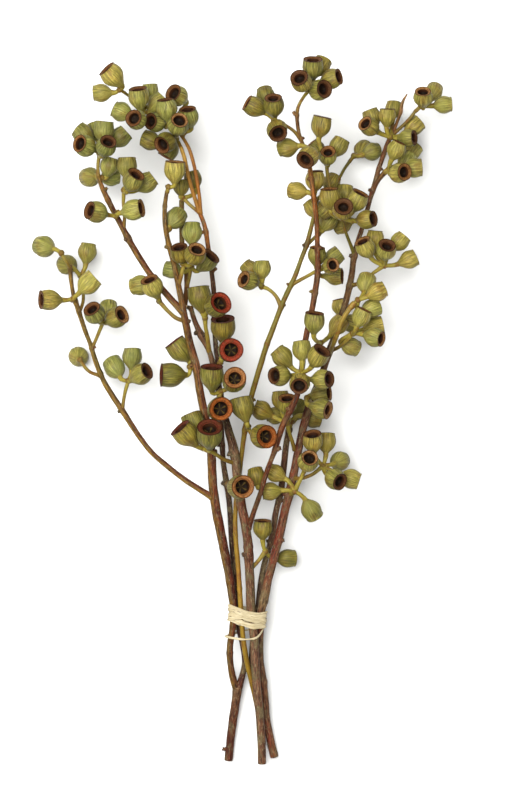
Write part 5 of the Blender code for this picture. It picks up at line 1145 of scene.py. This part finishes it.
# The lumpy swelling that the pedicels of a cluster grow from
def addKnob(piece, point, tint, seed):
    centre = np.array(place(*point[:3])) / mm
    sides, levels = 18, 9
    turns = np.arange(sides) * 2 * math.pi / sides
    lean = np.linspace(-math.pi / 2, math.pi / 2, levels + 2)[1:-1]
    out = np.stack([
        np.cos(lean)[:, None] * np.cos(turns)[None], np.cos(lean)[:, None] * np.sin(turns)[None],
        np.broadcast_to(np.sin(lean)[:, None], (levels, sides))], axis=2)
    lumps = roughly(out.reshape(-1, 3), 0.55, seed).reshape(levels, sides)
    radius = stalkShape["knobWidth"] / 2
    rings = centre + out * (radius * (1 + 0.22 * lumps))[:, :, None]
    piece.addSurface(
        rings, 2, place=out * radius + seed * 11.0, tint=np.broadcast_to(tint, (levels, sides, 3)),
        wear=np.full((levels, sides, 1), 0.4))


nutTints = {
    "plain": (1.0, 1.0, 1.0),
    "spread": 0.16,  # how far one nut's lightness may differ from the next
    "mouths": ("6d4c2a", "5a3c22", "7c5c38", "4c321e"),
    "mouthNames": {"red": "702c1c", "tan": "7c5430", "orange": "7a441c", "maroon": "50261a"},
    "stalk": "786c28",
    "stalkBase": "5c461a",
    "knob": "5e4a1c",
    # clusters that stand out: paler and more yellow, or deep and golden; the deep ones are darkened partly for their
    # own tone and partly as painted shade, for lying low under other clusters
    "pale": ("right_nuts_03", "right_nuts_04", "right_nuts_06", "right_nuts_11", "right_nuts_12", "left_nuts_01",
             "left_nuts_06", "left_nuts_14", "left_nuts_15", "low_left_nuts_02"),
    "deepShaded": ("left_nuts_16", "centre_nuts_01", "centre_nuts_02", "centre_nuts_03", "right_nuts_01",
             "front_nuts_06", "orange_nuts_02", "yellow_nuts_01", "dark_stem_nuts", "tie_nuts", "left_nuts_10",
             "left_nuts_07", "front_nuts_02", "left_nuts_05"),
    "paleTint": (1.04, 1.02, 1.00),
    "deepShadedTint": (0.60, 0.56, 0.40),
    "leftTint": (0.78, 0.83, 0.86),
    "otherTint": (0.84, 0.80, 0.72),
}

for index, (name, (branch, stalk, rows)) in enumerate(clusters.items()):
    chance = np.random.default_rng(500 + index)
    piece = Piece(name + "_cluster")
    isBig = name in bigMouthed
    shade = "leftTint" if "left" in name else "otherTint"
    if name in nutTints["pale"]:
        shade = "paleTint"
    # deep clusters: partly their own tone, partly painted shade
    if name in nutTints["deepShaded"]:
        shade = "deepShadedTint"
    look = {"stops": [(stalk[0][1], nutTints["stalkBase"]), (stalk[-1][1] + 0.01, nutTints["stalk"])],
            "wear": 0.15}
    addStem(piece, stalk, look, seed=200 + index, slot=2, flare=0.25, sides=stalkShape["sides"])
    addKnob(piece, stalk[-1], linear(nutTints["knob"]), 300 + index)
    for order, nut in enumerate(nutsOf[name]):
        lightness = 1 + chance.uniform(-nutTints["spread"], nutTints["spread"])
        warm = chance.uniform(-0.09, 0.09)
        tint = np.array((1 + warm, 1.0, 1 - warm)) * lightness * np.array(nutTints[shade])
        mouthTint = linear(nutTints["mouths"][chance.integers(len(nutTints["mouths"]))])
        if isBig:
            mouthTint = linear(nutTints["mouthNames"][bigMouthed[name][order]])
        addPedicel(piece, nut, linear(nutTints["stalk"]), index * 10 + order)
        addNut(piece, nut, chance, isBig, tint, mouthTint)
    piece.build([skinFinish, mouthFinish, twigFinish], name)
print("clusters made")

# The tie: split raffia wound several times round the stems, and one thin strand that drops from the
# band, goes round lower down and comes back up into it
raffiaTie = {
    "reach": 4.0,  # pixels above and below a ribbon's middle that its outline takes in
    # each ribbon: its levels in the view at four places from left to right over the front, its width
    # and how far out it lies
    "ribbons": (
        ((613.2, 617.0, 621.0, 620.8), 5.6, 0.05),
        ((619.2, 624.2, 628.6, 627.2), 4.2, 0.14),
        ((608.4, 613.2, 617.2, 617.6), 3.8, 0.20),
        ((617.0, 616.8, 619.0, 624.6), 3.0, 0.42),
        ((620.6, 619.4, 618.0, 616.6), 2.4, 0.62),
        ((611.4, 615.0, 620.6, 623.0), 2.2, 0.78),
        ((607.2, 612.6, 615.4, 614.6), 1.2, 0.55),
        ((621.6, 626.2, 630.6, 629.0), 1.2, 0.60),
    ),
    "thickness": 0.18,
    "strandLevels": (637, 640, 644),
    "strandWidth": 1.5,
    # the strand's level from left to right over the front
    "strandRun": (639.0, 640.0, 640.8, 641.4, 641.6, 641.5, 640.8, 637.5, 628.0),
    "around": 220,
    "across": 9,
}


# A loop in the X Z plane that goes round every stem at these levels, with its outward directions
def wrapOutline(levels, clearance, count):
    dots = []
    for y in levels:
        for branch in branches.values():
            for route in branch.values():
                cross = atLevel(route, y)
                if cross is None:
                    continue
                centre = place(cross[0], y, cross[1]) / mm
                far = cross[2] / 2 + clearance
                for turn in np.arange(48) * 2 * math.pi / 48:
                    dots.append((centre.x + far * math.cos(turn), centre.z + far * math.sin(turn)))
    ordered = sorted(set(dots))
    lower, upper = [], []
    for line, source in ((lower, ordered), (upper, reversed(ordered))):
        for p in source:
            while len(line) > 1:
                a, b = line[-2], line[-1]
                if (b[0] - a[0]) * (p[1] - a[1]) - (b[1] - a[1]) * (p[0] - a[0]) > 0:
                    break
                line.pop()
            line.append(p)
    corners = np.array(lower[:-1] + upper[:-1])
    closed = np.vstack([corners, corners[:1]])
    far = np.concatenate([[0], np.cumsum(np.linalg.norm(np.diff(closed, axis=0), axis=1))])
    at = np.arange(count) / count * far[-1]
    loop = np.stack([np.interp(at, far, closed[:, k]) for k in (0, 1)], axis=1)
    ahead = np.roll(loop, -2, axis=0) - np.roll(loop, 2, axis=0)
    ahead /= np.linalg.norm(ahead, axis=1)[:, None]
    return loop, np.stack([ahead[:, 1], -ahead[:, 0]], axis=1), at


# A closed ring of ribbon or cord: sections is (around, corners, 3) and wraps onto itself
def addLoop(piece, sections, **given):
    doubled = np.concatenate([sections, sections[:1]])
    given = {field: np.concatenate([value, value[:1]]) for field, value in given.items()}
    piece.addSurface(doubled, 0, capStart=False, capEnd=False, **given)


# How far each point of a loop is from its left edge to its right, and whether it is over the front
def acrossFront(loop, away):
    left, right = loop[:, 0].min(), loop[:, 0].max()
    return (loop[:, 0] - left) / (right - left), away[:, 1] > 0


# Heights up the bunch of a loop whose levels in the view are given from left to right over the front
def loopHeights(levels, loop, away):
    share, isFront = acrossFront(loop, away)
    places = np.linspace(0, 1, len(levels))
    smooth = np.interp(np.linspace(0, 1, 60), places, levels)
    smooth = np.convolve(np.pad(smooth, 4, mode="edge"), np.ones(9) / 9, mode="valid")
    front = np.interp(share, np.linspace(0, 1, 60), smooth)
    back = smooth[0] + (smooth[-1] - smooth[0]) * share
    spread = layout["mmPerPixel"]
    return (layout["centreY"] - np.where(isFront, front, back)) * spread


def addRibbon(piece, levels, width, out, seed):
    around, across = raffiaTie["around"], raffiaTie["across"]
    middle = sum(levels) / len(levels)
    reach = raffiaTie["reach"]
    loop, away, at = wrapOutline((middle - reach, middle, middle + reach), layout["touchingGap"] + out, around)
    turns = np.arange(around) * 2 * math.pi / around
    centreY = loopHeights(levels, loop, away) + 0.22 * np.sin(3 * turns + seed) + 0.14 * np.sin(7 * turns + 2 * seed)
    widths = width * (1 + 0.13 * np.sin(3 * turns + seed * 2) + 0.07 * np.sin(8 * turns + seed))
    shares = np.linspace(-0.5, 0.5, across)
    folds = 0.30 * np.sin(shares[None] * 10 + seed + 1.5 * np.sin(2 * turns + seed)[:, None])
    lift = 0.10 + folds * (0.5 + 0.4 * np.sin(4 * turns + seed)[:, None])
    sections = []
    patterns = []
    for face, order in ((1, range(across)), (0, reversed(range(across)))):
        for k in order:
            height = np.maximum(lift[:, k], 0.0) + face * raffiaTie["thickness"]
            sections.append(np.stack([
                loop[:, 0] + away[:, 0] * height, centreY + shares[k] * widths, loop[:, 1] + away[:, 1] * height,
            ], axis=1))
            patterns.append(np.stack([
                np.full(around, shares[k] * width + seed * 9), np.full(around, face * 0.4), at], axis=1))
    addLoop(piece, np.stack(sections, axis=1)[:, ::-1], place=np.stack(patterns, axis=1)[:, ::-1])


def addStrand(piece):
    loop, away, at = wrapOutline(
        raffiaTie["strandLevels"], layout["touchingGap"] + raffiaTie["strandWidth"] / 2, raffiaTie["around"])
    heights = loopHeights(raffiaTie["strandRun"], loop, away)
    turns = np.arange(raffiaTie["around"]) * 2 * math.pi / raffiaTie["around"]
    sections = []
    patterns = []
    for corner in np.arange(14) * 2 * math.pi / 14:
        twist = corner + 1.6 * np.sin(turns * 2)
        radius = raffiaTie["strandWidth"] / 2 * (0.85 + 0.28 * np.cos(2 * twist))
        sections.append(np.stack([
            loop[:, 0] + away[:, 0] * radius * math.cos(corner),
            heights - radius * math.sin(corner),
            loop[:, 1] + away[:, 1] * radius * math.cos(corner)], axis=1))
        patterns.append(np.stack([
            np.full(len(turns), math.cos(corner) * 0.8), np.full(len(turns), math.sin(corner) * 0.8), at], axis=1))
    addLoop(piece, np.stack(sections, axis=1)[:, ::-1], place=np.stack(patterns, axis=1)[:, ::-1])


piece = Piece("raffia_binding")
for order, (levels, width, out) in enumerate(raffiaTie["ribbons"]):
    addRibbon(piece, levels, width, out, order * 1.7)
addStrand(piece)
piece.build([raffiaFinish], "raffia_tie")
print("raffia made")

studio = {
    "camera": (0.0169, 0.0094, 2.2),
    "sensorHeight": 24.0,
    "lens": 92.36,  # gives 0.7 mm a pixel at the bunch's middle height
    "skyOverhead": 0.75,
    "skyLow": 0.05,
    "key": ("AREA", (-0.6, 0.4, 2.25), 1.8, 140.0),
    "fill": ("AREA", (1.3, -0.6, 2.4), 2.0, 6.0),
    "floorSize": 8.0,
}


def makeFloor():
    bpy.ops.mesh.primitive_plane_add(size=studio["floorSize"], location=(0, 0, 0))
    floor = bpy.context.object
    floor.name = "floor"
    material = bpy.data.materials.new("white paper sweep")
    material.use_nodes = True
    tree = material.node_tree
    shader = tree.nodes["Principled BSDF"]
    where = addNode(tree, "ShaderNodeTexCoord", {})
    tooth = addNode(tree, "ShaderNodeTexNoise", {"Vector": where.outputs["Object"], "Scale": 30.0, "Detail": 3.0})
    colour = mixed(tree, tooth.outputs["Fac"], "d6d6d4", "dcdcda")
    tree.links.new(colour, shader.inputs["Base Color"])
    tree.links.new(rangeOf(tree, tooth.outputs["Fac"], 0, 1, 0.9, 1.0), shader.inputs["Roughness"])
    shader.inputs["Specular IOR Level"].default_value = 0.0
    floor.data.materials.append(material)


def addLight(name, kind, location, size, power):
    data = bpy.data.lights.new(name, kind)
    data.shape = "SQUARE"
    data.size = size
    data.energy = power
    light = bpy.data.objects.new(name, data)
    light.location = location
    aim = Vector((0, 0, 0)) - Vector(location)
    light.rotation_euler = aim.to_track_quat("-Z", "Y").to_euler()
    bpy.context.scene.collection.objects.link(light)


def makeCamera():
    data = bpy.data.cameras.new("camera")
    data.sensor_fit = "VERTICAL"
    data.sensor_height = studio["sensorHeight"]
    data.lens = studio["lens"]
    data.clip_end = 20.0
    camera = bpy.data.objects.new("camera", data)
    camera.location = studio["camera"]
    bpy.context.scene.collection.objects.link(camera)
    bpy.context.scene.camera = camera


# White overhead and dim near the floor, as in a studio with one big soft roof light
def makeSky():
    world = bpy.data.worlds.new("studio")
    world.use_nodes = True
    tree = world.node_tree
    where = addNode(tree, "ShaderNodeTexCoord", {})
    split = addNode(tree, "ShaderNodeSeparateXYZ", {0: where.outputs["Generated"]})
    strength = rangeOf(tree, split.outputs[2], 0.0, 1.0, studio["skyLow"], studio["skyOverhead"])
    background = tree.nodes["Background"]
    background.inputs["Color"].default_value = (1, 1, 1, 1)
    tree.links.new(strength, background.inputs["Strength"])
    bpy.context.scene.world = world


makeFloor()
makeCamera()
addLight("key_light", *studio["key"])
addLight("fill_light", *studio["fill"])
makeSky()
bpy.context.scene.view_settings.view_transform = "Standard"
print("studio ready")
